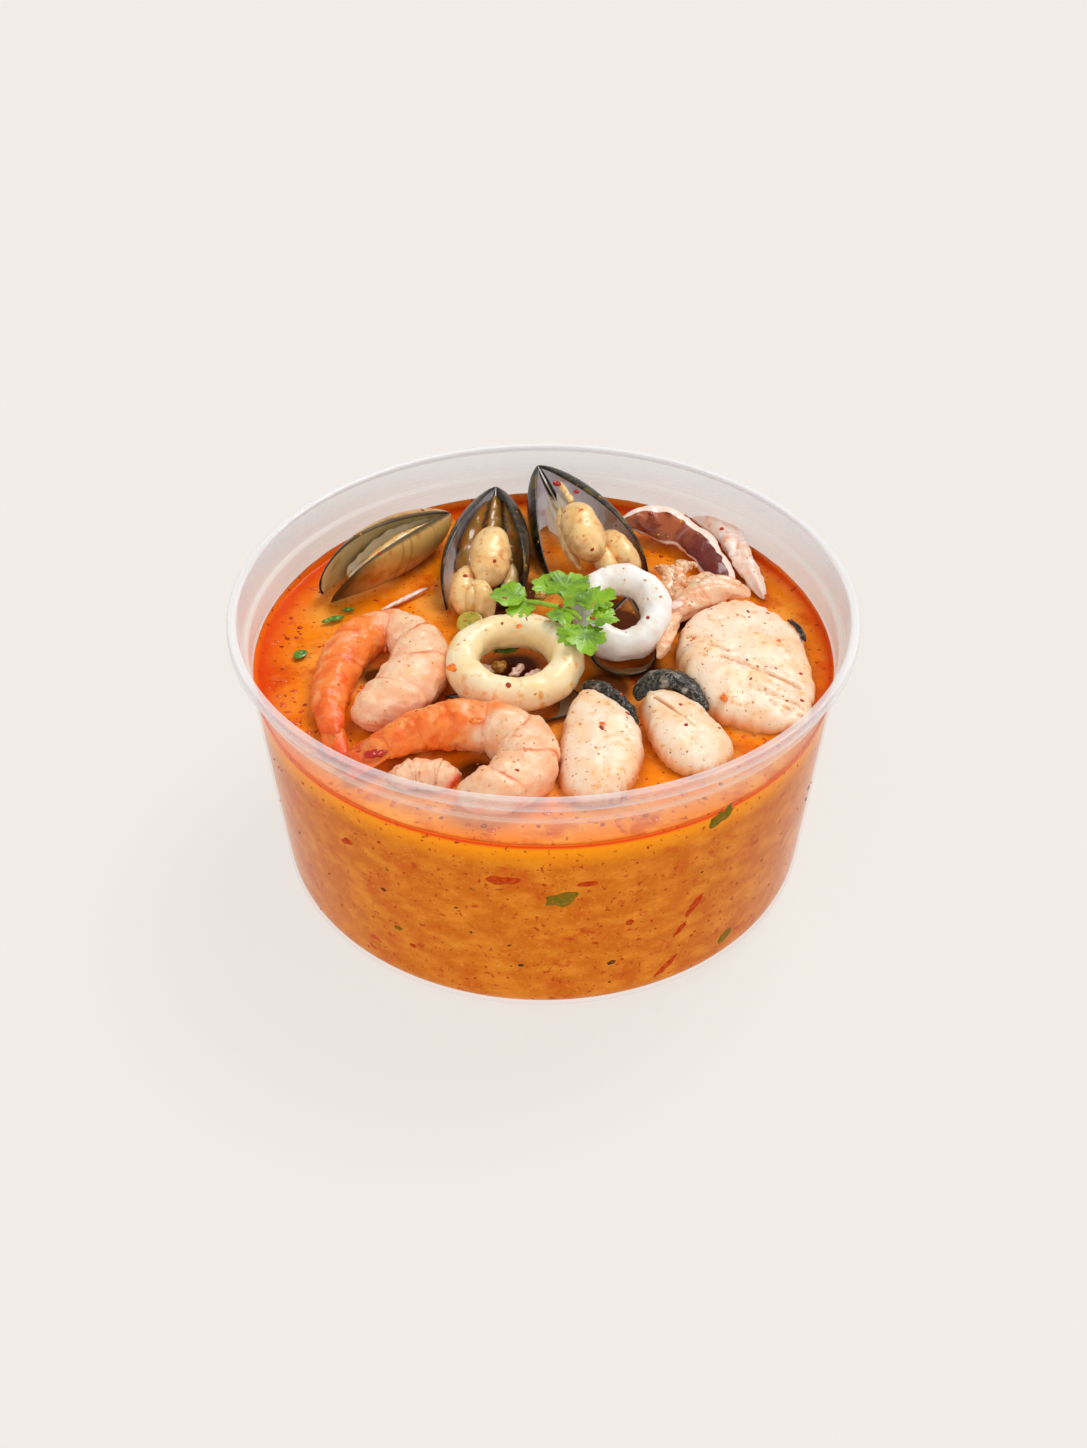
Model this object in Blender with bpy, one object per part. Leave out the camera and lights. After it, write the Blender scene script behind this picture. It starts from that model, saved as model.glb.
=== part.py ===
"""Tom yum soup with seafood in a round clear tub.

Everything is laid out in millimetres in the tub's own frame: the origin is the centre of the base,
+Z is up and -Y is the front. Heights of food are counted from the surface of the broth. put() turns
millimetres into metres as it makes each object.
"""

import math

import bmesh
import bpy
from mathutils import Matrix, Vector

METRES = 0.001  # metres in a millimetre
GAP = 0.35  # clearance that keeps touching pieces apart
UP = Vector((0, 0, 1))

# Tub
RIM_RADIUS = 75.0
TUB_HEIGHT = 72.5
WALL = 0.8
LIP_WIDTH = 2.4
SKIRT_DROP = 2.6
COLLAR_DEPTH = 7.9  # from the rim down to the stacking ledge
LEDGE_WIDTH = 1.0
WALL_TOP_RADIUS = 71.4
WALL_FOOT_RADIUS = 66.3
CORNER_RADIUS = 5.0
FOOT_RING_WIDTH = 3.0
BASE_LIFT = 0.8
TUB_SEGMENTS = 40

# Broth
BROTH_LEVEL = 57.4

# Green mussel at full size
MUSSEL_LENGTH = 50.0
MUSSEL_BACK = 11.2  # half outline on the hinge side
MUSSEL_BELLY = 12.0  # half outline on the mouth side
VALVE_DEPTH = 6.8
SHELL_THICKNESS = 1.1
VALVE_AROUND = 12
VALVE_ALONG = 8

COLOURS = {
    "clear_polypropylene": ((0.86, 0.87, 0.90, 1.0), 0.25),
    "creamy_broth": ((0.78, 0.25, 0.03, 1.0), 0.30),
    "mussel_shell": ((0.06, 0.045, 0.03, 1.0), 0.30),
    "mussel_meat": ((0.80, 0.55, 0.27, 1.0), 0.40),
    "cooked_squid": ((0.86, 0.80, 0.72, 1.0), 0.35),
    "squid_skin": ((0.16, 0.03, 0.02, 1.0), 0.35),
    "cooked_tentacle": ((0.74, 0.36, 0.25, 1.0), 0.40),
    "white_fish": ((0.86, 0.77, 0.66, 1.0), 0.45),
    "cooked_prawn": ((0.86, 0.42, 0.22, 1.0), 0.38),
    "coriander_leaf": ((0.14, 0.33, 0.02, 1.0), 0.45),
    "spring_onion": ((0.50, 0.52, 0.08, 1.0), 0.40),
}


def clear_scene():
    for obj in list(bpy.data.objects):
        bpy.data.objects.remove(obj)


def material(name):
    """The named finish, made the first time it is asked for."""
    found = bpy.data.materials.get(name)
    if found:
        return found
    colour, roughness = COLOURS[name]
    made = bpy.data.materials.new(name)
    made.use_nodes = True
    made.diffuse_color = colour
    shader = made.node_tree.nodes["Principled BSDF"]
    shader.inputs["Base Color"].default_value = colour
    shader.inputs["Roughness"].default_value = roughness
    shader.inputs["Metallic"].default_value = 0.0
    return made


def face_outwards(body):
    bmesh.ops.recalc_face_normals(body, faces=body.faces)
    if body.calc_volume(signed=True) < 0:
        bmesh.ops.reverse_faces(body, faces=body.faces)


def put(name, body, finish, placing=Matrix()):
    """Turns a bmesh in millimetres into a named, finished object in metres."""
    body.transform(placing)
    body.transform(Matrix.Scale(METRES, 4))
    face_outwards(body)
    mesh = bpy.data.meshes.new(name)
    body.to_mesh(mesh)
    body.free()
    mesh.shade_smooth()
    mesh.set_sharp_from_angle(angle=math.radians(40))
    mesh.materials.append(material(finish))
    obj = bpy.data.objects.new(name, mesh)
    bpy.context.scene.collection.objects.link(obj)
    return obj


def above_broth(x, y, height):
    return Vector((x, y, BROTH_LEVEL + height))


def curve_through(points, share, closed=False):
    """A smooth (Catmull-Rom) curve through rows of numbers, read at a share from 0 to 1 of its run."""
    count = len(points)
    spans = count if closed else count - 1
    place = min(max(share, 0.0), 1.0) * spans
    first = min(int(place), spans - 1)
    t = place - first

    def row(index):
        if closed:
            return points[index % count]
        return points[min(max(index, 0), count - 1)]

    before, start, end, after = (row(first + step) for step in (-1, 0, 1, 2))
    return [
        0.5 * (2 * b + (c - a) * t + (2 * a - 5 * b + 4 * c - d) * t**2 + (3 * b - a - 3 * c + d) * t**3)
        for a, b, c, d in zip(before, start, end, after)
    ]


def ball(around, along):
    """A unit ball with its poles on Z, to be moved point by point into a soft shape."""
    body = bmesh.new()
    bmesh.ops.create_uvsphere(body, u_segments=around, v_segments=along, radius=1.0)
    return body


def facing(origin, forward, upward):
    """A placing at the origin whose X runs forward and whose Y leans upward."""
    x = Vector(forward).normalized()
    y = (Vector(upward) - x * x.dot(Vector(upward))).normalized()
    axes = Matrix((x, y, x.cross(y))).transposed().to_4x4()
    return Matrix.Translation(Vector(origin)) @ axes


# Helpers that cut one solid by another


def hidden(obj):
    obj.hide_render = True
    obj.display_type = "WIRE"
    return obj


def swollen(obj, filled=False):
    """A hidden copy of a piece, grown by the gap. A filled one also closes its hollow with a hull."""
    body = bmesh.new()
    body.from_mesh(obj.data)
    if filled:
        hull = bmesh.ops.convex_hull(body, input=body.verts)
        covered = hull["geom_interior"] + hull["geom_unused"]
        inner = [item for item in covered if isinstance(item, bmesh.types.BMVert)]
        bmesh.ops.delete(body, geom=inner, context="VERTS")
        loose = [face for face in body.faces if face not in set(hull["geom"])]
        bmesh.ops.delete(body, geom=loose, context="FACES_ONLY")
        face_outwards(body)
    body.normal_update()
    grown = [vert.co + vert.normal * 1.3 * GAP * METRES for vert in body.verts]
    for vert, place in zip(body.verts, grown):
        vert.co = place
    mesh = bpy.data.meshes.new(f"{obj.name}_room")
    body.to_mesh(mesh)
    body.free()
    cutter = bpy.data.objects.new(f"{obj.name}_room", mesh)
    bpy.context.scene.collection.objects.link(cutter)
    return hidden(cutter)


def boolean(obj, other, operation):
    modifier = obj.modifiers.new(f"{operation.lower()} {other.name}", "BOOLEAN")
    modifier.operation = operation
    modifier.object = other


# Tub and broth


def turned(profile, segments):
    """A closed solid of revolution about Z from (radius, height) points that start and end on the axis."""
    body = bmesh.new()
    corners = [body.verts.new((radius, 0, height)) for radius, height in profile]
    edges = [body.edges.new(pair) for pair in zip(corners, corners[1:])]
    bmesh.ops.spin(
        body, geom=corners + edges, cent=(0, 0, 0), axis=UP, angle=math.tau, steps=segments, use_merge=True
    )
    bmesh.ops.remove_doubles(body, verts=body.verts, dist=1e-4)
    return body


def wall_radius(height):
    """Outer radius of the tub's tapered wall."""
    share = (height - CORNER_RADIUS) / (TUB_HEIGHT - COLLAR_DEPTH - CORNER_RADIUS)
    return WALL_FOOT_RADIUS + (WALL_TOP_RADIUS - WALL_FOOT_RADIUS) * share


def corner_arc(radius, outer_radius, floor, steps=2):
    """Points round the corner between floor and wall, from the floor outwards."""
    angles = [math.radians(-90 + 90 * step / steps) for step in range(steps + 1)]
    return [
        (outer_radius - radius + radius * math.cos(angle), floor + radius + radius * math.sin(angle))
        for angle in angles
    ]


def make_tub():
    ledge = TUB_HEIGHT - COLLAR_DEPTH
    lip_inner = RIM_RADIUS - LIP_WIDTH
    foot_inner = WALL_FOOT_RADIUS - CORNER_RADIUS - FOOT_RING_WIDTH
    floor = BASE_LIFT + WALL
    edge = 0.4  # rounding of the lip
    outside = [(0.0, BASE_LIFT), (foot_inner - BASE_LIFT, BASE_LIFT), (foot_inner, 0.0)]
    outside += corner_arc(CORNER_RADIUS, WALL_FOOT_RADIUS, 0.0)
    outside += [
        (WALL_TOP_RADIUS, ledge - WALL),
        (WALL_TOP_RADIUS + LEDGE_WIDTH, ledge),
        (lip_inner + WALL, TUB_HEIGHT - WALL),
        (RIM_RADIUS - WALL, TUB_HEIGHT - WALL),
        (RIM_RADIUS - WALL, TUB_HEIGHT - SKIRT_DROP),
        (RIM_RADIUS, TUB_HEIGHT - SKIRT_DROP),
        (RIM_RADIUS, TUB_HEIGHT - edge),
        (RIM_RADIUS - edge, TUB_HEIGHT),
    ]
    inside = [(0.0, floor)] + corner_arc(CORNER_RADIUS - WALL, WALL_FOOT_RADIUS - WALL, floor)
    inside += [
        (WALL_TOP_RADIUS - WALL, ledge - edge),
        (WALL_TOP_RADIUS - WALL + LEDGE_WIDTH, ledge + edge),
        (lip_inner, TUB_HEIGHT - edge),
        (lip_inner + edge, TUB_HEIGHT),
    ]
    return put("tub", turned(outside + inside[::-1], TUB_SEGMENTS), "clear_polypropylene")


def make_broth():
    floor = BASE_LIFT + WALL + GAP
    inset = WALL + GAP
    profile = [(0.0, floor)] + corner_arc(CORNER_RADIUS - inset, WALL_FOOT_RADIUS - inset, floor)
    profile += [(wall_radius(BROTH_LEVEL) - inset, BROTH_LEVEL), (0.0, BROTH_LEVEL)]
    return put("broth", turned(profile, TUB_SEGMENTS), "creamy_broth")


# Mussels


def belly_height(share):
    """Half outline on the mouth side, blunt at the beak and round at the far end."""
    return MUSSEL_BELLY / 0.67 * share**0.55 * max(0.0, 1 - share**3.2) ** 0.55


def back_height(share):
    """Half outline on the hinge side, straight from the beak and then rounded."""
    return MUSSEL_BACK / 0.537 * share * max(0.0, 1 - share**2.5) ** 0.5


def dome(share):
    """Depth of the valve along its length, fullest towards the beak."""
    return VALVE_DEPTH * math.sin(math.pi * share**0.7) ** 0.62


def across_valve(share, across, inset):
    """Where a point from -1 (hinge side) to 1 (mouth side) falls across the valve."""
    reach = belly_height(share) if across > 0 else back_height(share)
    return across * max(reach - inset, 0.35 * reach)


def valve_solid():
    """One valve: beak at the origin, length along X, mouth side +Y, bulging to +Z from the plane Z = 0."""
    body = ball(VALVE_AROUND, VALVE_ALONG)
    lip = math.tau / VALVE_AROUND
    for vert in body.verts:
        share = min(max((1 + vert.co.z) / 2, 0.0), 1.0)
        angle = math.atan2(vert.co.x, vert.co.y)
        if angle > -1e-4:
            x, inset, depth = MUSSEL_LENGTH * share, 0.0, dome(share)
        else:
            angle = min(max((-angle - lip) / (math.pi - 2 * lip), 0.0), 1.0) * math.pi
            x = SHELL_THICKNESS + (MUSSEL_LENGTH - 2 * SHELL_THICKNESS) * share
            inset, depth = SHELL_THICKNESS, max(dome(share) - SHELL_THICKNESS, 0.0)
        vert.co = (x, across_valve(share, math.cos(angle), inset), depth * math.sin(angle))
    return body


def meat_solid(fullness, start, end):
    """Meat that fills the bottom of a valve and swells out of its mouth as two lobes."""
    body = ball(12, 8)
    for vert in body.verts:
        soften = max(1 - vert.co.z**2, 1e-6) ** -0.2
        share = (start + end) / 2 + (end - start) / 2 * vert.co.z
        across = 0.74 * vert.co.y * soften
        deep = vert.co.x * soften
        middle = 0.35 * dome(share)
        if deep > 0:
            bottom = (dome(share) - SHELL_THICKNESS) * math.sqrt(1 - across**2) - 2 * GAP
            z = middle + deep * (bottom - middle)
        else:
            groove = 1 - 0.25 * math.exp(-((across + 0.15) ** 2) / 0.02)
            z = middle + deep * (fullness + middle) * groove
        vert.co = (MUSSEL_LENGTH * share, across_valve(share, across, SHELL_THICKNESS), z)
    return body


def mussel_placing(beak, far_end, mouth, size):
    towards = Vector(far_end) - Vector(beak)
    return facing(above_broth(*beak), towards, mouth) @ Matrix.Scale(size, 4)


def make_mussel(name, beak, far_end, mouth, size, gape, meat_side, fullness):
    """A cooked mussel: two valves hinged beside the beak, open by the gape, and the meat in one of them."""
    placing = mussel_placing(beak, far_end, mouth, size)
    hinge = Vector((0.4 * MUSSEL_LENGTH, -back_height(0.4), 0))
    opening = Matrix.Translation((0, 0, GAP)) @ Matrix.Rotation(math.radians(gape / 2), 4, hinge)
    made = []
    for side, mirror in (("a", 1), ("b", -1)):
        opened = placing @ Matrix.Diagonal((1, 1, mirror, 1)) @ opening
        made.append(put(f"{name}_valve_{side}", valve_solid(), "mussel_shell", opened))
        if side == meat_side:
            made.append(put(f"{name}_meat", meat_solid(fullness, 0.24, 0.88), "mussel_meat", opened))
    return made


def make_half_shell(name, beak, far_end, size):
    """A single valve lying in the broth like a cup."""
    sideways = (Vector(far_end) - Vector(beak)).cross(UP)
    return put(name, valve_solid(), "mussel_shell", mussel_placing(beak, far_end, sideways, size))


# Squid


def ring_solid(radius, wall, height, oval, lump, around=22, sides=8):
    """A slice of squid tube about Z: an oval ring with a rounded, slightly uneven wall."""
    body = bmesh.new()
    section = bmesh.ops.create_circle(body, segments=sides, radius=1.0)["verts"]
    stand = Matrix.Translation((radius, 0, 0)) @ Matrix.Diagonal((wall / 2, 1, height / 2, 1))
    bmesh.ops.transform(body, matrix=stand @ Matrix.Rotation(math.pi / 2, 4, "X"), verts=section)
    bmesh.ops.spin(
        body,
        geom=body.verts[:] + body.edges[:],
        cent=(0, 0, 0),
        axis=UP,
        angle=math.tau,
        steps=around,
        use_merge=True,
    )
    bmesh.ops.remove_doubles(body, verts=body.verts, dist=1e-4)
    for vert in body.verts:
        turn = math.atan2(vert.co.y, vert.co.x)
        middle = Vector((math.cos(turn), math.sin(turn), 0)) * radius
        uneven = 1 + lump * math.sin(2 * turn + 1.0) + 0.5 * lump * math.sin(5 * turn)
        place = middle + (vert.co - middle) * uneven
        vert.co = (place.x * (1 + oval), place.y * (1 - oval), place.z)
    return body


def sweep_solid(route, around, along, blunt=8, up=UP):
    """A soft body along a route of (x, y, height above broth, half width, half height) rows."""
    body = ball(around, along)
    for vert in body.verts:
        share = math.acos(min(max(-vert.co.z, -1.0), 1.0)) / math.pi
        x, y, height, half_width, half_height = curve_through(route, share)
        after, before = (Vector(curve_through(route, share + step)[:3]) for step in (0.02, -0.02))
        ahead = after - before
        side = ahead.cross(up).normalized()
        top = side.cross(ahead).normalized()
        close = math.sqrt(max(1 - abs(2 * share - 1) ** blunt, 0.0))
        angle = math.atan2(vert.co.y, vert.co.x)
        across = side * half_width * math.cos(angle) + top * half_height * math.sin(angle)
        vert.co = above_broth(x, y, height) + across * close
    return body


def make_tentacles(name, arms):
    """Short curled arms that grow together into one bunch."""
    made = []
    for index, arm in enumerate(arms):
        made.append(put(f"{name}_{index}", sweep_solid(arm, 7, 7, 4), "cooked_tentacle"))
    first, *others = made
    first.name = name
    for other in others:
        boolean(first, hidden(other), "UNION")
    return first


# Fish


def chunk_solid(outline, top, slope, depth, around=18, along=8):
    """A flaked-off piece of fillet: an outline seen from above, a gently tilted top and rounded sides."""
    body = ball(around, along)
    middle_x = sum(x for x, y in outline) / len(outline)
    middle_y = sum(y for x, y in outline) / len(outline)
    waist = -1.0  # height of the widest line, just under the broth
    for vert in body.verts:
        share = (math.atan2(vert.co.y, vert.co.x) / math.tau) % 1.0
        edge_x, edge_y = curve_through(outline, share, closed=True)
        spread = math.hypot(vert.co.x, vert.co.y) ** 0.55
        away_x, away_y = (edge_x - middle_x) * spread, (edge_y - middle_y) * spread
        rise = math.copysign(abs(vert.co.z) ** 0.6, vert.co.z)
        roof = top + slope[0] * away_x + slope[1] * away_y
        height = waist + rise * ((roof - waist) if rise > 0 else depth)
        vert.co = above_broth(middle_x + away_x, middle_y + away_y, height)
    return body


# Herbs


def leaf_solid(size, thickness=0.6, teeth=5):
    """A lobed coriander leaflet in the XY plane with its stalk end at the origin."""
    body = bmesh.new()
    rim = bmesh.ops.create_circle(body, cap_ends=True, segments=20, radius=size / 2)["verts"]
    for vert in rim:
        angle = math.atan2(vert.co.y, vert.co.x)
        lobes = 1 + 0.16 * math.cos(teeth * angle)
        vert.co = (vert.co.x * lobes * 1.05 + size / 2, vert.co.y * lobes, 0)
    flat = bmesh.ops.extrude_face_region(body, geom=body.faces[:])["geom"]
    lifted = [item for item in flat if isinstance(item, bmesh.types.BMVert)]
    bmesh.ops.translate(body, verts=lifted, vec=(0, 0, thickness))
    return body


def make_coriander(stem, leaves):
    """A sprig: one stem with its leaflets joined to it."""
    sprig = put("coriander", sweep_solid(stem, 5, 10, 12), "coriander_leaf")
    for index, (stalk, heading, lean, size) in enumerate(leaves):
        turn = math.radians(heading)
        forward = Vector((math.cos(turn), math.sin(turn), math.sin(math.radians(lean))))
        placing = facing(above_broth(*stalk), forward, UP.cross(forward))
        leaf = put(f"coriander_leaf_{index}", leaf_solid(size), "coriander_leaf", placing)
        boolean(sprig, hidden(leaf), "UNION")
    return sprig


def make_slice(name, centre, radius, thickness, lean):
    body = bmesh.new()
    bmesh.ops.create_cone(body, cap_ends=True, segments=12, radius1=radius, radius2=radius, depth=thickness)
    placing = Matrix.Translation(above_broth(*centre)) @ Matrix.Rotation(math.radians(lean), 4, "X")
    return put(name, body, "spring_onion", placing)


# The bowl of food

PRAWN_LEFT = [
    (-43.5, -30.5, 2.5, 6.0, 5.0),
    (-37.0, -26.0, 3.0, 7.6, 6.0),
    (-31.5, -18.5, 3.5, 7.8, 6.2),
    (-29.5, -8.5, 3.5, 7.2, 5.8),
    (-32.5, 0.0, 3.0, 6.2, 5.4),
    (-39.0, 3.0, 3.0, 5.6, 5.0),
    (-45.0, -2.0, 3.0, 5.6, 5.0),
    (-48.5, -11.5, 2.5, 5.6, 4.8),
    (-49.5, -22.0, 2.0, 4.6, 4.0),
    (-48.5, -31.5, 1.5, 3.4, 2.6),
    (-46.0, -38.5, 0.5, 2.6, 1.2),
]

PRAWN_FRONT = [
    (-19.0, -56.0, 1.5, 5.0, 4.6),
    (-11.5, -56.5, 3.0, 6.6, 5.6),
    (-5.0, -51.5, 3.5, 7.2, 6.2),
    (-4.0, -43.0, 4.0, 7.0, 6.2),
    (-10.5, -36.8, 4.0, 6.6, 6.0),
    (-19.0, -35.0, 4.0, 6.0, 5.6),
    (-27.0, -36.8, 4.0, 5.0, 5.0),
    (-33.5, -40.0, 3.5, 4.0, 3.6),
    (-39.0, -43.5, 2.5, 4.0, 1.8),
    (-43.5, -46.5, 1.5, 3.4, 1.0),
]

PRAWN_LOW = [
    (-34.0, -49.5, -1.5, 3.4, 3.2),
    (-29.0, -47.5, -1.0, 4.6, 4.0),
    (-23.5, -48.0, -1.0, 4.6, 4.2),
    (-19.5, -50.0, -2.0, 3.6, 3.6),
]

FISH_LARGE = [
    (62.5, -8.0),
    (61.0, 4.0),
    (55.5, 12.0),
    (47.5, 14.0),
    (39.5, 9.5),
    (33.8, 2.0),
    (33.0, -9.0),
    (35.5, -20.0),
    (42.0, -27.5),
    (51.5, -31.0),
    (58.5, -27.0),
    (61.5, -18.0),
]

FISH_LEFT = [
    (22.3, -40.0),
    (20.6, -31.0),
    (15.5, -25.0),
    (9.0, -22.0),
    (5.2, -30.0),
    (3.6, -42.0),
    (3.8, -52.0),
    (9.0, -57.5),
    (15.5, -56.5),
    (20.5, -50.0),
]

FISH_MIDDLE = [
    (43.0, -37.5),
    (37.5, -32.5),
    (31.0, -26.5),
    (24.8, -22.5),
    (22.6, -27.5),
    (24.6, -34.5),
    (26.5, -42.0),
    (31.5, -47.0),
    (37.5, -46.5),
    (41.5, -42.5),
]

SQUID_STRIP = [
    (21.6, 51.0, 3.8, 1.0, 0.8),
    (26.3, 52.2, 4.2, 3.6, 1.7),
    (32.5, 51.0, 3.5, 5.2, 2.1),
    (38.5, 45.5, 3.0, 4.8, 2.2),
    (42.5, 38.0, 2.5, 4.4, 2.2),
    (45.0, 30.0, 2.0, 4.0, 2.0),
    (47.0, 22.0, 1.0, 2.8, 1.6),
]

SQUID_LOBE = [
    (47.5, 48.0, 1.0, 2.2, 1.8),
    (50.5, 42.0, 1.5, 2.9, 2.6),
    (52.5, 34.0, 1.5, 2.9, 2.8),
    (54.0, 27.0, 1.0, 2.6, 2.4),
    (55.5, 21.0, 0.0, 2.0, 1.8),
]

TENTACLES = [
    [
        (30.5, 30.0, 5.0, 2.0, 2.0),
        (31.5, 25.0, 5.5, 2.2, 2.2),
        (32.5, 19.0, 4.0, 2.4, 2.6),
        (32.0, 12.5, 1.0, 2.0, 2.4),
    ],
    [
        (36.5, 30.0, 5.5, 2.0, 2.0),
        (35.5, 25.5, 5.5, 2.0, 2.2),
        (34.0, 20.0, 3.5, 2.4, 2.6),
        (33.0, 15.0, 1.0, 2.0, 2.0),
    ],
    [
        (46.0, 22.5, 2.5, 1.6, 1.8),
        (41.5, 22.5, 3.5, 2.4, 2.6),
        (37.0, 20.0, 3.5, 2.6, 3.0),
        (33.5, 17.0, 2.0, 2.0, 2.2),
    ],
]

CORIANDER_STEM = [
    (-9.0, 3.0, 12.0, 0.8, 0.8),
    (-4.0, 2.5, 12.6, 0.8, 0.8),
    (1.0, 0.5, 13.0, 0.8, 0.8),
    (6.0, -3.0, 14.0, 0.8, 0.8),
    (9.0, -8.0, 14.5, 0.7, 0.7),
]

CORIANDER_LEAVES = [  # stalk end, heading in degrees, lean in degrees, size
    ((-5.0, 2.6, 12.4), 125, 8, 10.0),
    ((1.0, 0.4, 12.8), 80, 10, 12.0),
    ((0.0, 0.6, 12.6), 110, 4, 9.0),
    ((6.0, -3.2, 13.8), 15, 12, 10.0),
    ((8.6, -7.6, 14.2), -60, -14, 8.5),
]


MUSSELS = [  # name, beak, far end, mouth direction, size, gape in degrees, meat's side, fullness
    ("mussel_left", (-24.6, 53.5, 4.5), (-57, 21.5, -6.0), (0.1, -0.55, 0.8), 0.88, 16, "b", 0.5),
    ("mussel_middle", (-12.7, 61.5, 9), (-15.5, 12, -5), (-0.05, -0.5, 0.85), 0.95, 50, "a", 4.5),
    ("mussel_right", (-1.6, 67.5, 12), (17, 33, -6), (0.1, -0.45, 0.88), 0.95, 64, "b", 4.5),
]


def make_seafood():
    mussels = []
    for name, beak, far_end, mouth, size, gape, meat_side, fullness in MUSSELS:
        mussels += make_mussel(name, beak, far_end, mouth, size, gape, meat_side, fullness)
    cups = [
        make_half_shell("shell_under_front_ring", (-23.3, -19, 0.4), (5, -21, 0.4), 0.64),
        make_half_shell("shell_under_back_ring", (22, 24, 0.2), (19, -10, 0.2), 0.7),
    ]
    rings = [
        put("squid_ring_front", ring_solid(12.0, 7.6, 8.8, 0.02, 0.05), "cooked_squid",
            Matrix.Translation(above_broth(-6.8, -14.0, 6.4)) @ Matrix.Rotation(math.radians(4), 4, "X")),
        put("squid_ring_back", ring_solid(8.8, 7.2, 9.0, -0.03, 0.06), "cooked_squid",
            Matrix.Translation(above_broth(18.9, 4.1, 8.0)) @ Matrix.Rotation(math.radians(27), 4, "X")),
    ]
    soft = [
        put("squid_strip", sweep_solid(SQUID_STRIP, 10, 12, 6, Vector((0.1, -0.5, 0.8))), "squid_skin"),
        put("squid_lobe", sweep_solid(SQUID_LOBE, 8, 8, 4), "cooked_squid"),
        make_tentacles("squid_tentacles", TENTACLES),
        put("fish_large", chunk_solid(FISH_LARGE, 6.0, (-0.16, 0.08), 7.0), "white_fish"),
        put("fish_left", chunk_solid(FISH_LEFT, 6.5, (0.0, 0.12), 6.0), "white_fish"),
        put("fish_middle", chunk_solid(FISH_MIDDLE, 5.0, (-0.15, 0.15), 6.0), "white_fish"),
        put("prawn_left", sweep_solid(PRAWN_LEFT, 11, 19), "cooked_prawn"),
        put("prawn_front", sweep_solid(PRAWN_FRONT, 11, 19), "cooked_prawn"),
        put("prawn_low", sweep_solid(PRAWN_LOW, 10, 8, 4), "cooked_prawn"),
        make_slice("spring_onion_slice", (-18.0, 7.5, 2.0), 3.4, 2.0, 25),
    ]
    return mussels + cups, rings + soft


def main():
    clear_scene()
    make_tub()
    broth = make_broth()
    shells, flesh = make_seafood()
    for shell in shells:
        boolean(broth, swollen(shell, filled=True), "DIFFERENCE")
    for piece in flesh:
        boolean(broth, swollen(piece), "DIFFERENCE")
    make_coriander(CORIANDER_STEM, CORIANDER_LEAVES)


main()
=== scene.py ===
# Tom yum soup with seafood in a round clear tub: the looks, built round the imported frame.
# Shapes are worked out in millimetres in the tub's frame, and turned to metres as each piece is made.
# Heights of food are counted from the surface of the broth.
import math
import random

import bmesh
import bpy
from mathutils import Matrix, Vector, noise
from mathutils.bvhtree import BVHTree


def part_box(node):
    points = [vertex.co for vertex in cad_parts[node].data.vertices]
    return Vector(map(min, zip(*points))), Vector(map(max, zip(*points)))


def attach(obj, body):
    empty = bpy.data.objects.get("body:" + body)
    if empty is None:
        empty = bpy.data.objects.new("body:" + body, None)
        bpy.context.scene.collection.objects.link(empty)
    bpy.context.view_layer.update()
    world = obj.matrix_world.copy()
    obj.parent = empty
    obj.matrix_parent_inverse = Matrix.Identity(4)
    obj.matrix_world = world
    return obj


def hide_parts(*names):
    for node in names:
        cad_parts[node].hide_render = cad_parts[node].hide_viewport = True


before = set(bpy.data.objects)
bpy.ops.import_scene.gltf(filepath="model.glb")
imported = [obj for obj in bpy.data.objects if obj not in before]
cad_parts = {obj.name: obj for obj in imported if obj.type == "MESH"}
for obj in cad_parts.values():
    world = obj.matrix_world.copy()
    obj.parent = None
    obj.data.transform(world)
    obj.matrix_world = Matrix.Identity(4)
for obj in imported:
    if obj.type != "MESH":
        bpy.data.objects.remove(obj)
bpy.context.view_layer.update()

metres = 0.001
up = Vector((0, 0, 1))
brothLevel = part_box("broth")[1].z / metres
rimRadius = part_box("tub")[1].x / metres
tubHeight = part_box("tub")[1].z / metres
foodTrees = []  # what flakes and the broth's edge are fitted to


# Small helpers


def fromHex(code):
    shades = [int(code[start : start + 2], 16) / 255 for start in (1, 3, 5)]
    linear = [shade / 12.92 if shade <= 0.04045 else ((shade + 0.055) / 1.055) ** 2.4 for shade in shades]
    return (*linear, 1.0)


def addNode(tree, kind, settings=None, links=None):
    node = tree.nodes.new(kind)
    for name, value in (settings or {}).items():
        if isinstance(name, str) and hasattr(node, name):
            setattr(node, name, value)
        else:
            node.inputs[name].default_value = value
    for name, socket in (links or {}).items():
        tree.links.new(socket, node.inputs[name])
    return node


def newMaterial(name, surface):
    made = bpy.data.materials.new(name)
    made.use_nodes = True
    tree = made.node_tree
    shader = tree.nodes["Principled BSDF"]
    for setting, value in surface.items():
        shader.inputs[setting].default_value = value
    coords = addNode(tree, "ShaderNodeTexCoord").outputs["Object"]
    return made, tree, shader, coords


def follow(tree, coords, source):
    # what a colour follows: a painted mark by its name, a socket,
    # or patches as (size in mm, detail, shift, stretch)
    if isinstance(source, str):
        return addNode(tree, "ShaderNodeAttribute", {"attribute_name": source}).outputs["Fac"]
    if not isinstance(source, tuple):
        return source
    size, detail, shift, stretch = (*source, *(3.0, 0.0, (1, 1, 1))[len(source) - 1 :])
    moved = addNode(tree, "ShaderNodeMapping", {"Location": (shift,) * 3, "Scale": stretch},
                    {"Vector": coords})
    settings = {"Scale": 1 / (size * metres), "Detail": detail}
    return addNode(tree, "ShaderNodeTexNoise", settings, {"Vector": moved.outputs[0]}).outputs[0]


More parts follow.
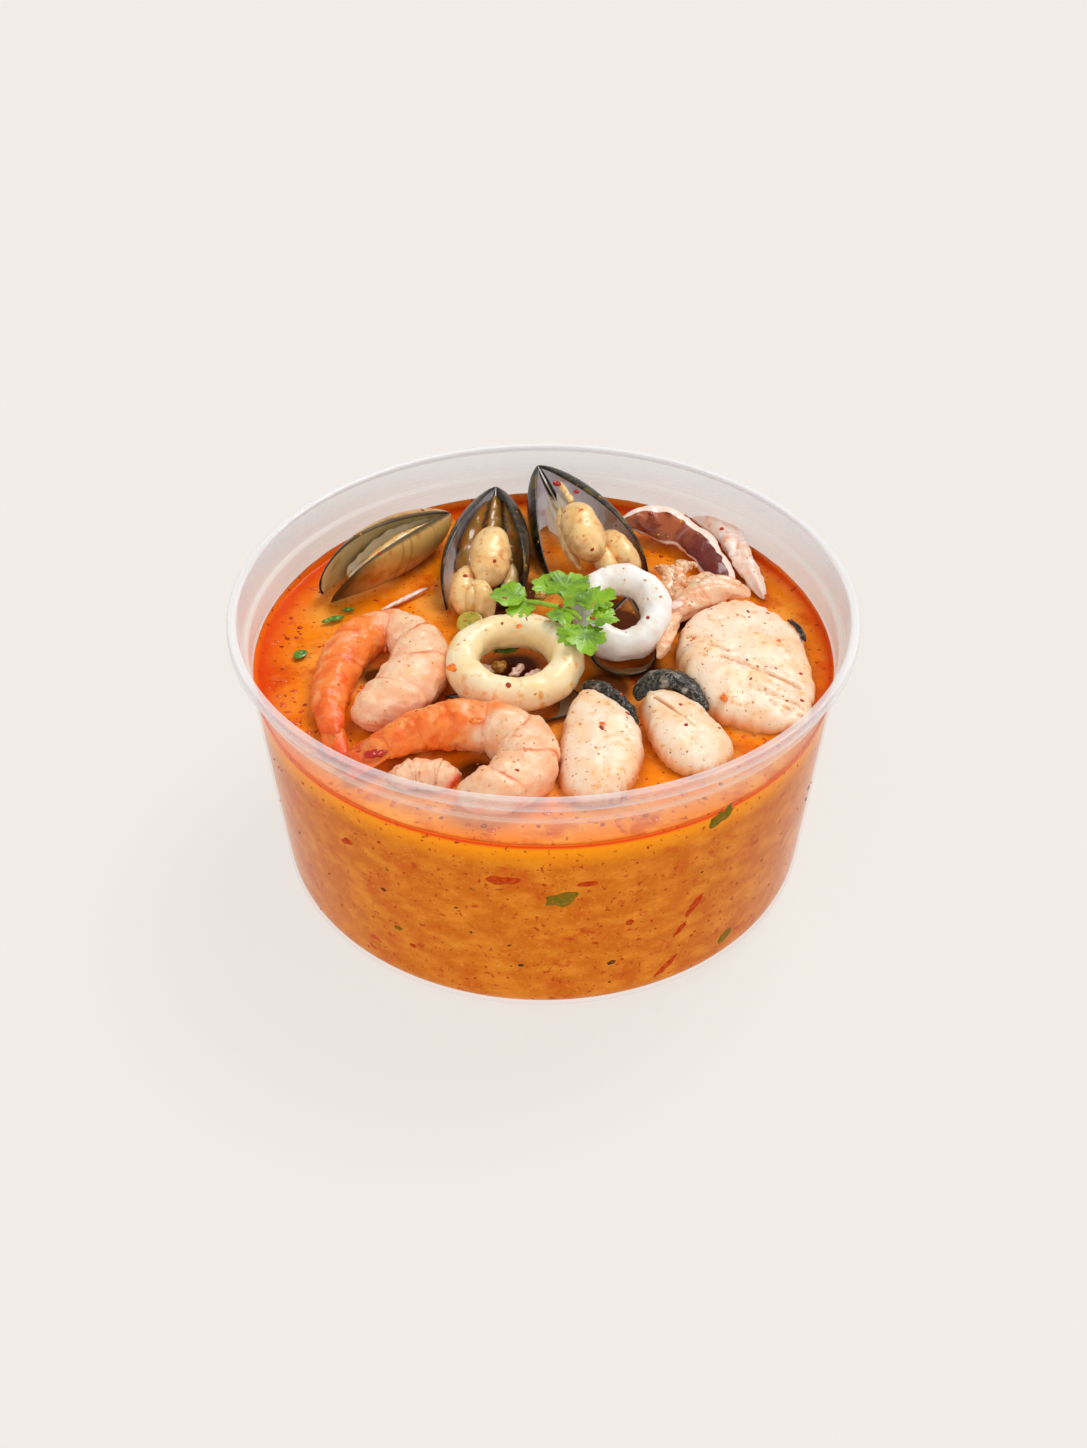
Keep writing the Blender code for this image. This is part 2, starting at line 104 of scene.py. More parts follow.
def layered(tree, coords, colour, layers):
    # lays colours over a first one: each row is what it follows, from, to, the colour, and how much of it.
    # A colour is a hex value, a socket, or another (first colour, layers)
    for source, low, high, over, most in layers:
        settings = {"From Min": low, "From Max": high, "To Max": most}
        spread = addNode(tree, "ShaderNodeMapRange", settings, {"Value": follow(tree, coords, source)})
        if isinstance(over, tuple):
            over = layered(tree, coords, *over)
        settings, links = {"data_type": "RGBA"}, {0: spread.outputs[0]}
        for place, shade in ((6, colour), (7, over)):
            if isinstance(shade, str):
                settings[place] = fromHex(shade)
            else:
                links[place] = shade
        colour = addNode(tree, "ShaderNodeMix", settings, links).outputs[2]
    return colour


def dress(tree, coords, shader, colour, bump=None):
    # bump: what the relief follows, how deep it is in mm, how strong
    tree.links.new(colour, shader.inputs["Base Color"])
    if bump:
        source, depth, strength = bump
        settings = {"Distance": depth * metres, "Strength": strength}
        relief = addNode(tree, "ShaderNodeBump", settings, {"Height": follow(tree, coords, source)})
        tree.links.new(relief.outputs[0], shader.inputs["Normal"])


def layeredMaterial(name, surface, colour, layers, bump=None):
    made, tree, shader, coords = newMaterial(name, surface)
    dress(tree, coords, shader, layered(tree, coords, colour, layers), bump)
    return made


def aboveBroth(x, y, height):
    return Vector((x, y, brothLevel + height))


def curveThrough(points, share, closed=False):
    # a smooth (Catmull-Rom) curve through rows of numbers, read at a share from 0 to 1 of its run
    count = len(points)
    spans = count if closed else count - 1
    place = min(max(share, 0.0), 1.0) * spans
    first = min(int(place), spans - 1)
    t = place - first

    def row(index):
        return points[index % count] if closed else points[min(max(index, 0), count - 1)]

    before, start, end, after = (row(first + step) for step in (-1, 0, 1, 2))
    return [
        0.5 * (2 * b + (c - a) * t + (2 * a - 5 * b + 4 * c - d) * t**2 + (3 * b - a - 3 * c + d) * t**3)
        for a, b, c, d in zip(before, start, end, after)
    ]


def bell(distance, width):
    return math.exp(-((distance / width) ** 2))


def ball(around, along):
    body = bmesh.new()
    bmesh.ops.create_uvsphere(body, u_segments=around, v_segments=along, radius=1.0)
    return body


def facing(origin, forward, upward):
    x = Vector(forward).normalized()
    y = (Vector(upward) - x * x.dot(Vector(upward))).normalized()
    axes = Matrix((x, y, x.cross(y))).transposed().to_4x4()
    return Matrix.Translation(Vector(origin)) @ axes


def paint(body, name, shade):
    # a number at every point, which the material reads by name
    mark = body.verts.layers.float.get(name) or body.verts.layers.float.new(name)
    for vert in body.verts:
        vert[mark] = shade(vert)


def roughen(body, size, depth, seed=0.0, octaves=3):
    body.normal_update()
    offset = Vector((seed, seed * 1.7, seed * 0.6))
    moves = [vert.normal * depth * noise.fractal(vert.co / size + offset, 0.9, 2.0, octaves)
             for vert in body.verts]
    for vert, move in zip(body.verts, moves):
        vert.co += move


def faceOutwards(body):
    bmesh.ops.recalc_face_normals(body, faces=body.faces)
    if body.calc_volume(signed=True) < 0:
        bmesh.ops.reverse_faces(body, faces=body.faces)


def merged(bodies):
    # several bodies as one mesh, with the same marks on each
    whole = bmesh.new()
    for body in bodies:
        for layer in body.verts.layers.float.keys():
            if not whole.verts.layers.float.get(layer):
                whole.verts.layers.float.new(layer)
    for body in bodies:
        copied = {}
        for vert in body.verts:
            copied[vert] = whole.verts.new(vert.co)
            for layer in body.verts.layers.float.keys():
                copied[vert][whole.verts.layers.float[layer]] = vert[body.verts.layers.float[layer]]
        for face in body.faces:
            whole.faces.new([copied[vert] for vert in face.verts])
        body.free()
    return whole


def addPiece(name, body, finish, replaced=(), placing=None, isFood=True):
    if placing:
        body.transform(placing)
    faceOutwards(body)
    if isFood:
        foodTrees.append(BVHTree.FromBMesh(body))
    body.transform(Matrix.Scale(metres, 4))
    mesh = bpy.data.meshes.new(name)
    body.to_mesh(mesh)
    body.free()
    mesh.shade_smooth()
    mesh.materials.append(finish)
    piece = bpy.data.objects.new(name, mesh)
    bpy.context.scene.collection.objects.link(piece)
    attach(piece, "root")
    if replaced:
        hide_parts(*replaced)
    return piece


# Camera, floor and light

studio = {
    "cameraPlace": (0.0, -0.35758, 0.31569),
    "cameraPitch": 51.79,
    "lens": 45.02,
    "floorColour": "#F1ECE6",
    "floorGlow": 0.85,
    "skyStrength": 0.42,
    # direction each light comes from, strength, how wide it looks in degrees
    "lights": [((0.45, 0.55, 1.0), 1.75, 28), ((-0.9, -0.6, 0.9), 0.35, 60), ((1.0, -0.75, 0.45), 0.50, 50),
               ((-0.25, -1.0, 0.35), 0.70, 60)],
}


def makeStudio():
    scene = bpy.context.scene
    scene.view_settings.view_transform = "Standard"
    camera = bpy.data.objects.new("camera", bpy.data.cameras.new("camera"))
    camera.data.sensor_fit = "VERTICAL"
    camera.data.sensor_height = 36
    camera.data.lens = studio["lens"]
    camera.data.clip_start = 0.01
    camera.location = studio["cameraPlace"]
    camera.rotation_euler = (math.radians(studio["cameraPitch"]), 0, 0)
    scene.collection.objects.link(camera)
    scene.camera = camera

    ground = bmesh.new()
    bmesh.ops.create_grid(ground, x_segments=1, y_segments=1, size=5.0)
    mesh = bpy.data.meshes.new("floor")
    ground.to_mesh(mesh)
    ground.free()
    paper, tree, shader, coords = newMaterial("matte paper backdrop",
        {"Roughness": 0.9, "Specular IOR Level": 0.0})
    bright = Vector(fromHex(studio["floorColour"])[:3])
    shader.inputs["Base Color"].default_value = (*(bright * (1 - studio["floorGlow"])), 1.0)
    shader.inputs["Emission Color"].default_value = (*(bright * studio["floorGlow"]), 1.0)
    shader.inputs["Emission Strength"].default_value = 1.0
    mesh.materials.append(paper)
    floor = bpy.data.objects.new("floor", mesh)
    scene.collection.objects.link(floor)

    world = bpy.data.worlds.new("studio")
    world.use_nodes = True
    sky = world.node_tree.nodes["Background"]
    sky.inputs["Color"].default_value = (1.0, 1.0, 1.0, 1.0)
    sky.inputs["Strength"].default_value = studio["skyStrength"]
    scene.world = world

    for index, (direction, strength, spread) in enumerate(studio["lights"]):
        light = bpy.data.objects.new(f"soft light {index}",
                                     bpy.data.lights.new(f"soft light {index}", "SUN"))
        light.data.energy = strength
        light.data.angle = math.radians(spread)
        light.rotation_euler = Vector(direction).to_track_quat("Z", "Y").to_euler()
        scene.collection.objects.link(light)


# Tub

tub = {
    "wall": 0.8,
    "lipWidth": 2.4,
    "skirtDrop": 2.6,
    "collarDepth": 7.9,
    "ledgeWidth": 1.0,
    "wallTop": 71.4,
    "wallFoot": 66.3,
    "corner": 5.0,
    "footRing": 3.0,
    "baseLift": 0.8,
    "segments": 160,
    "edgeRounding": 0.3,
}


def turned(profile, segments):
    body = bmesh.new()
    corners = [body.verts.new((radius, 0, height)) for radius, height in profile]
    edges = [body.edges.new(pair) for pair in zip(corners, corners[1:])]
    bmesh.ops.spin(
        body, geom=corners + edges, cent=(0, 0, 0), axis=up, angle=math.tau, steps=segments, use_merge=True
    )
    bmesh.ops.remove_doubles(body, verts=body.verts, dist=1e-4)
    return body


def cornerArc(radius, outerRadius, floor, steps=8):
    angles = [math.radians(-90 + 90 * step / steps) for step in range(steps + 1)]
    return [
        (outerRadius - radius + radius * math.cos(angle), floor + radius + radius * math.sin(angle))
        for angle in angles
    ]


def wallRadius(height):
    share = (height - tub["corner"]) / (tubHeight - tub["collarDepth"] - tub["corner"])
    return tub["wallFoot"] + (tub["wallTop"] - tub["wallFoot"]) * share


def clearPolypropylene():
    # moulded polypropylene: a cloudy, slightly lilac haze above the broth, clear where the broth wets it,
    # whiter at its moulded edges, partly as a painted highlight, and where it curves away; painted light
    # thickens the haze towards the back and tints it peach near the broth
    surface = {"Roughness": 0.14, "IOR": 1.49}
    made, tree, shader, coords = newMaterial("clear polypropylene", surface)
    edge, wetted, backlightHaze, cloud = (follow(tree, coords, source)
                                 for source in ("edge", "wet", "paintedBacklightHaze", (16.0, 1.0)))
    away = addNode(tree, "ShaderNodeLayerWeight", {"Blend": 0.35}).outputs["Facing"]
    dry = addNode(tree, "ShaderNodeMapRange", {"To Min": 0.08, "To Max": 0.56}, {"Value": away}).outputs[0]
    drift = addNode(tree, "ShaderNodeMath", {"operation": "MULTIPLY_ADD", 1: 0.03},
                    {0: cloud, 2: dry}).outputs[0]
    settings = {"From Min": 0.40, "To Min": 0.004, "To Max": 0.34}
    wet = addNode(tree, "ShaderNodeMapRange", settings, {"Value": away}).outputs[0]
    mixed = addNode(tree, "ShaderNodeMix", {}, {0: wetted, 2: drift, 3: wet}).outputs[0]
    haze = addNode(tree, "ShaderNodeMath", {"operation": "MULTIPLY"}, {0: mixed, 1: backlightHaze}).outputs[0]
    settings = {"operation": "MULTIPLY_ADD", "use_clamp": True, 1: 0.27}
    alpha = addNode(tree, "ShaderNodeMath", settings, {0: edge, 2: haze}).outputs[0]
    # the white on the moulded edges is partly a painted highlight, and the peach near the broth is painted
    # glow from the broth
    layers = [(edge, 0.2, 1.0, "#FFFFFF", 1.0), ("lit", 0.0, 1.0, "#F4C496", 1.0)]
    dress(tree, coords, shader, layered(tree, coords, "#D8D7E0", layers))
    tree.links.new(alpha, shader.inputs["Alpha"])
    return made


def makeTub():
    ledge = tubHeight - tub["collarDepth"]
    lipInner = rimRadius - tub["lipWidth"]
    footInner = tub["wallFoot"] - tub["corner"] - tub["footRing"]
    floor = tub["baseLift"] + tub["wall"]
    edge = 0.4
    outside = [(0.0, tub["baseLift"]), (footInner - tub["baseLift"], tub["baseLift"]), (footInner, 0.0)]
    outside += cornerArc(tub["corner"], tub["wallFoot"], 0.0)
    outside += [(wallRadius(brothLevel + step), brothLevel + step) for step in (-0.6, 0.6)]
    outside += [
        (tub["wallTop"] - 0.05, ledge - tub["wall"] - edge),
        (tub["wallTop"], ledge - tub["wall"]),
        (tub["wallTop"] + tub["ledgeWidth"], ledge),
        (tub["wallTop"] + tub["ledgeWidth"] + 0.05, ledge + edge),
        (lipInner + tub["wall"] - 0.05, tubHeight - tub["wall"] - edge),
        (lipInner + tub["wall"], tubHeight - tub["wall"]),
        (rimRadius - tub["wall"], tubHeight - tub["wall"]),
        (rimRadius - tub["wall"], tubHeight - tub["skirtDrop"]),
        (rimRadius, tubHeight - tub["skirtDrop"]),
        (rimRadius, tubHeight - tub["skirtDrop"] + edge),
        (rimRadius, tubHeight - 2 * edge),
        (rimRadius - edge, tubHeight),
    ]
    inside = [(0.0, floor)] + cornerArc(tub["corner"] - tub["wall"], tub["wallFoot"] - tub["wall"], floor)
    inside += [(wallRadius(brothLevel + step) - tub["wall"], brothLevel + step) for step in (-0.6, 0.6)]
    inside += [
        (tub["wallTop"] - tub["wall"] - 0.05, ledge - 2 * edge),
        (tub["wallTop"] - tub["wall"], ledge - edge),
        (tub["wallTop"] - tub["wall"] + tub["ledgeWidth"], ledge + edge),
        (tub["wallTop"] - tub["wall"] + tub["ledgeWidth"] + 0.05, ledge + 2 * edge),
        (lipInner - 0.05, tubHeight - 3 * edge),
        (lipInner, tubHeight - edge),
        (lipInner + edge, tubHeight),
    ]
    body = turned(outside + inside[::-1], tub["segments"])
    skirt = tubHeight - tub["skirtDrop"]

    def onEdge(vert):
        z, radius = vert.co.z, math.hypot(vert.co.x, vert.co.y)
        atLedge = ledge - tub["wall"] - 0.05 < z < ledge + edge + 0.05
        atSkirt = abs(z - skirt) < 0.05 and radius > rimRadius - 0.9
        return 0.8 if atLedge else float(z > tubHeight - edge - 0.05 or atSkirt)

    paint(body, "edge", onEdge)
    # painted light: a peach glow from the broth on the haze, fading over 14 mm above the level and stronger
    # at the front
    paint(body, "lit", lambda vert: min(max(1 - (vert.co.z - brothLevel) / 14, 0.0), 1.0)
          * (0.75 - 0.25 * vert.co.y / rimRadius))
    # painted light: the haze is thicker towards the back, where the light comes from
    paint(body, "paintedBacklightHaze", lambda vert: 0.45 + 0.55 * min(max((vert.co.y / rimRadius + 1) / 1.2, 0.0), 1.0))
    paint(body, "wet", lambda vert: 1.0 if vert.co.z < brothLevel else 0.0)
    piece = addPiece("clear_tub", body, clearPolypropylene(), ["tub"], isFood=False)
    rounding = piece.modifiers.new("rounded edges", "BEVEL")
    rounding.width = tub["edgeRounding"] * metres
    rounding.segments = 3
    rounding.limit_method = "ANGLE"
    rounding.angle_limit = math.radians(25)
    print("tub made")


# Broth

broth = {
    # painted shade on the broth, in the holes and gaps among the food: x, y, how wide
    "paintedShadeSpots": [(-6.8, -14.0, 8.0), (18.9, 3.6, 7.0), (15.0, -14.0, 7.0), (4.0, 8.0, 9.0),
              (25.0, -10.0, 6.0), (-5.0, 26.0, 6.0), (14.0, 20.0, 8.0), (-15.0, -46.0, 5.0),
              (-40.0, -10.0, 4.0), (-24.0, -24.0, 4.0), (33.0, 14.0, 6.0), (8.0, -20.0, 5.0),
              (-9.0, 14.0, 8.0), (-6.8, -6.5, 7.0), (18.9, 13.0, 7.0)],
    "intoWall": 0.25,
    "sunk": 1.0,
    "meniscus": 0.6,
    "filmAtBack": 2.4,
    "edgeFilm": 0.35,
    "ripple": 0.14,
    "segments": 220,
    "rings": 90,
}


def creamyBroth():
    # coconut and chilli broth: opaque orange, with a film of red oil that is brightest at the wall, and
    # painted shade beside and between the food
    surface = {"Roughness": 0.14, "IOR": 1.33, "Specular IOR Level": 0.14}
    made, tree, shader, coords = newMaterial("creamy chilli broth", surface)
    depth, near, rim = (follow(tree, coords, mark) for mark in ("depth", "near", "rim"))
    top = layered(tree, coords, "#FA880E", [
        ((13.0, 4.0), 0.48, 0.64, "#FFA640", 0.8),
        ((9.0, 5.0, 3.1), 0.52, 0.68, "#DC5402", 0.85),
        ((2.6, 4.0, 4.4), 0.54, 0.70, "#F8A850", 0.45),
    ])
    # painted shade: a darker copy of the top, laid in patches right beside the food
    shaded = layered(tree, coords, top, [(near, 0.20, 0.9, "#A04408", 0.7)])
    top = layered(tree, coords, top, [
        (near, 0.25, 1.0, "#FBB868", 0.8),
        ((17.0, 2.0, 9.9), 0.44, 0.56, shaded, 1.0),
        # painted shade: dark brown in the holes and gaps among the food
        ("paintedShade", 0.10, 0.65, "#431804", 0.95),
        (rim, 0.25, 0.80, "#E03802", 0.85),
        (rim, 0.88, 1.0, "#F57A0C", 0.9),
        ("film", 0.15, 0.9, "#F6A040", 0.9),
    ])
    wall = [
        ((6.0, 5.0, 5.3, (1, 1, 1.6)), 0.42, 0.68, "#E88C24", 0.85),
        ((10.0, 3.0, 8.2, (1, 1, 1.3)), 0.54, 0.70, "#CC5404", 0.7),
        ((1.5, 3.0, 9.4, (1, 1, 2.2)), 0.56, 0.72, "#C86008", 0.45),
        ((0.9, 2.0, 7.7), 0.56, 0.72, "#F8AC4C", 0.25),
        ((5.0, 4.0, 2.9, (1, 1, 1.4)), 0.63, 0.70, "#C03806", 0.75),
        (depth, 8.0, 2.4, "#FF9A0A", 0.95),
        (depth, 1.6, 0.7, "#F23E04", 1.0),
    ]
    colour = layered(tree, coords, top, [
        (depth, 0.15, 0.5, ("#D06C08", wall), 1.0),
        ((1.3, 2.0, 1.7), 0.64, 0.71, "#B02C04", 0.85),
        ((1.1, 1.0, 6.1), 0.72, 0.77, "#7A2E08", 0.6),
    ])
    dress(tree, coords, shader, colour, ((2.4, 3.0, 2.2), 0.10, 0.6))
    return made


def makeBroth():
    inset = tub["wall"] - broth["intoWall"]
    floor = tub["baseLift"] + inset
    level = brothLevel - broth["sunk"]
    top = wallRadius(level) - inset
    profile = [(top * math.sin(math.pi / 2 * ring / broth["rings"]), level)
               for ring in range(broth["rings"])]
    profile += [(wallRadius(height) - inset, height) for height in
                [level - 0.05, level - 0.8] + [level - 1.6 * step for step in range(1, 32)]]
    profile += cornerArc(tub["corner"] - inset, tub["wallFoot"] - inset, floor)[::-1][1:] + [(0.0, floor)]
    body = turned(profile, broth["segments"])
    depth = body.verts.layers.float.new("depth")
    rim = body.verts.layers.float.new("rim")
    near = body.verts.layers.float.new("near")
    film = body.verts.layers.float.new("film")
    paintedShade = body.verts.layers.float.new("paintedShade")
    for vert in body.verts:
        radius = math.hypot(vert.co.x, vert.co.y)
        vert[depth] = max(level - vert.co.z, 0.0)
        onTop = vert.co.z > level - 0.02
        away = min(max((vert.co.y / top + 1.05) / 0.8, 0.0), 1.0)
        # the red oil ring is widened on the left as painted shade, darkening that side of the broth
        rimWidth = 3.6 + 7.0 * max(-vert.co.x / top, 0.0) ** 2
        vert[rim] = away * math.exp(-(top - radius) / rimWidth) if onTop else 1.0
        if not onTop:
            continue
        # painted shade spots from the list above
        vert[paintedShade] = max(
            bell(math.hypot(vert.co.x - x, vert.co.y - y), wide) for x, y, wide in broth["paintedShadeSpots"]
        )
        gap = min((tree.find_nearest(vert.co, 12)[3] or 99.0) for tree in foodTrees)
        vert[near] = math.exp(-gap / 2.2)
        wave = broth["ripple"] * noise.fractal(vert.co / 6.0, 1.0, 2.0, 3)
        climb = broth["meniscus"] * math.exp(-(top - radius) / 0.9)
        smear = broth["filmAtBack"] * max(0.0, 0.35 + vert.co.y / top) / 1.35
        smear *= math.exp(-(top - radius) / 0.25)
        vert[film] = smear / broth["filmAtBack"]
        vert.co.z += wave + broth["edgeFilm"] * math.exp(-gap / 0.8) + climb + smear
    addPiece("creamy_broth", body, creamyBroth(), ["broth"])
    print("broth made")


# Mussels

mussel = {
    "length": 50.0,
    "back": 11.2,
    "belly": 12.0,
    "depth": 6.8,
    "thickness": 0.55,
    "around": 84,
    "along": 70,
    "growthRidges": 16,
    "ridgeDepth": 0.10,
}


def bellyHeight(share):
    return mussel["belly"] / 0.60 * share**0.78 * max(0.0, 1 - share**3.2) ** 0.55


def backHeight(share):
    return mussel["back"] / 0.537 * share * max(0.0, 1 - share**2.5) ** 0.5


def dome(share):
    return mussel["depth"] * math.sin(math.pi * share**0.7) ** 0.9


def acrossValve(share, across, inset):
    reach = bellyHeight(share) if across > 0 else backHeight(share)
    return across * max(reach - inset, 0.35 * reach)


def valveBody(seed):
    # beak at the origin, length along X, mouth side +Y, bulging to +Z from the plane Z = 0
    body = ball(mussel["around"], mussel["along"])
    inside = body.verts.layers.float.new("inside")
    growth = body.verts.layers.float.new("growth")
    rim = body.verts.layers.float.new("rim")
    thick = mussel["thickness"]
    lip = 2 * math.tau / mussel["around"]
    for vert in body.verts:
        share = min(max((1 + vert.co.z) / 2, 0.0), 1.0)
        angle = math.atan2(vert.co.x, vert.co.y)
        outer = angle > -1e-4
        if outer:
            x, inset, deep = mussel["length"] * share, 0.0, dome(share)
        else:
            angle = min(max((-angle - lip) / (math.pi - 2 * lip), 0.0), 1.0) * math.pi
            x = thick + (mussel["length"] - 2 * thick) * share
            inset, deep = thick, max(dome(share) - thick, 0.0)
        across = math.cos(angle)
        age = math.hypot(share, 0.35 * across * share**0.5)
        vert[inside] = 0.0 if outer else 1.0
        vert[growth] = age
        vert[rim] = max(abs(across) ** 6, share**14)
        vert.co = (x, acrossValve(share, across, inset), deep * math.sin(angle))
        if outer:
            ridge = math.sin(math.tau * mussel["growthRidges"] * age
                             + 2 * noise.noise(vert.co / 9 + Vector((seed, 0, 0))))
            vert.co.z += mussel["ridgeDepth"] * ridge * math.sin(angle) * share**0.5
    return body


def mantleBody(gape, start, end, top, seed):
    # what lines a gaping mussel, from one valve across to the other
    body = ball(72, 48)
    foldsAndShade = body.verts.layers.float.new("foldsAndShade")
    lean = math.radians(gape / 2)
    for vert in body.verts:
        share = (start + end) / 2 + (end - start) / 2 * vert.co.z
        round_ = max(1 - vert.co.z**2, 1e-6) ** -0.25
        hinge = -backHeight(0.4) * share / 0.4
        middle = top - 3.0
        reach = max(middle + 2.0 - hinge, 0.0) * math.tan(lean) + 0.8 * dome(share) * math.cos(lean)
        across = vert.co.x * round_
        vert[foldsAndShade] = min(1.0, 0.25 + bell(across - 0.25, 0.12) + bell(across + 0.45, 0.10))
        rise = vert.co.y * round_ * 3.0 + 0.9 * math.cos(across * 7 + seed) * max(vert.co.y, 0.0)
        vert.co = (mussel["length"] * share, middle + rise, across * max(reach, 0.4) * 0.96)
    roughen(body, 3.0, 0.6, seed)
    return body


def musselPlacing(beak, farEnd, mouth, size):
    towards = Vector(farEnd) - Vector(beak)
    return facing(aboveBroth(*beak), towards, mouth) @ Matrix.Scale(size, 4)


def cookedMusselShell():
    # mussel shell: horny dark skin in growth bands outside, nacre inside with a dark lip; where a valve's
    # nacre mark is low its inside is painted dark brown as painted shade
    surface = {"Roughness": 0.32, "Specular IOR Level": 0.35, "Coat Weight": 0.06, "Coat Roughness": 0.08}
    made, tree, shader, coords = newMaterial("wet mussel shell", surface)
    growth, edge, patches = (follow(tree, coords, source) for source in ("growth", "rim", (5.0, 4.0, 2.0)))
    settings = {"noise_dimensions": "1D", "Scale": 26.0, "Detail": 3.0}
    bands = addNode(tree, "ShaderNodeTexNoise", settings, {"W": growth}).outputs[0]
    tan = [
        (patches, 0.50, 0.68, "#B06A14", 0.9),
        (bands, 0.55, 0.80, "#7A5A28", 0.5),
        (growth, 0.76, 0.96, "#3A2812", 0.95),
        (edge, 0.80, 0.97, "#3A2E1A", 0.9),
    ]
    nacre = [
        (growth, 0.50, 0.90, "#C89A50", 0.9),
        (patches, 0.48, 0.66, "#D4CCDC", 0.6),
        ((8.0, 2.0, 5.0), 0.56, 0.66, "#C8801C", 0.7),
        (growth, 0.80, 1.0, "#8A5A1E", 0.8),
    ]
    inner = [
        (growth, 0.50, 0.95, "#2A180B", 1.0),
        (patches, 0.45, 0.62, "#6E5A3A", 0.6),
        # painted shade: where there is no nacre the inside is dark brown, for a valve whose inside lies in
        # shade
        ("pearlOrPaintedShade", 0.0, 1.0, ("#FBF8FF", nacre), 1.0),
        ("amber", 0.0, 1.0, ("#EAD6A0", [(patches, 0.50, 0.68, "#C8A860", 0.8)]), 1.0),
        (edge, 0.80, 0.95, "#23150B", 1.0),
    ]
    colour = layered(tree, coords, "#1E140C", [
        (bands, 0.48, 0.66, "#4E3E18", 0.9),
        (patches, 0.55, 0.68, "#8A7018", 0.7),
        ("amber", 0.0, 1.0, ("#D0A058", tan), 1.0),
        ("inside", 0.0, 1.0, ("#54401F", inner), 1.0),
    ])
    dress(tree, coords, shader, colour, (bands, 0.12, 0.5))
    return made


def musselMeat():
    # steamed mussel: soft, moist and apricot, browner lower down each lobe as painted shade
    surface = {"Roughness": 0.34, "Subsurface Weight": 0.2, "Subsurface Scale": 0.002}
    surface.update({"Coat Weight": 0.2, "Coat Roughness": 0.15})
    surface["Subsurface Radius"] = (1.0, 0.6, 0.3)
    layers = [
        ((5.0,), 0.46, 0.66, "#F6BC70", 0.85),
        ("foldsAndShade", 0.25, 0.9, "#A8621C", 0.85),
        ((2.0, 3.0, 4.0), 0.56, 0.70, "#DC7A1C", 0.65),
    ]
    return layeredMaterial("steamed mussel meat", surface, "#FFD692", layers, ((1.1,), 0.15, 0.6))


def musselMantle():
    # the mantle that lines the shell: thin, olive brown, paler where the shell shows through
    surface = {"Roughness": 0.25, "Coat Weight": 0.3, "Coat Roughness": 0.1}
    pale = [
        ("foldsAndShade", 0.6, 1.0, "#B88848", 0.7),
        ((3.0, 3.0, 4.0), 0.50, 0.66, "#F4F0E4", 0.8),
    ]
    layers = [
        ("foldsAndShade", 0.3, 0.95, "#4A2C10", 0.9),
        ((2.4, 3.0), 0.52, 0.68, "#CC6A10", 0.8),
        ("pale", 0.0, 1.0, ("#FFF2D4", pale), 1.0),
    ]
    return layeredMaterial("mussel mantle", surface, "#A87830", layers, ((1.6,), 0.25, 0.7))


mussels = {
    # name: beak, far end, mouth direction, size, gape, amber outside, nacre inside valve a and valve b
    # (lower paints the inside dark brown as painted shade), mantle top, paleness
    "left": ((-24.6, 53.0, 6.0), (-56, 20.0, 2.6), (0.16, -0.42, 0.88), 0.88, 18, 1.0, 1.0, 1.0, 1.0, 1.0),
    "middle": ((-12.7, 61.5, 9), (-15.5, 12, -5), (-0.05, -0.5, 0.85), 0.95, 50, 0.0, 0.9, 0.1, 1.5, 0.0),
    "right": ((-1.6, 67.5, 12), (17, 33, -6), (-0.16, -0.5, 0.85), 0.95, 60, 0.0, 1.0, 0.75, -3.0, 1.0),
}

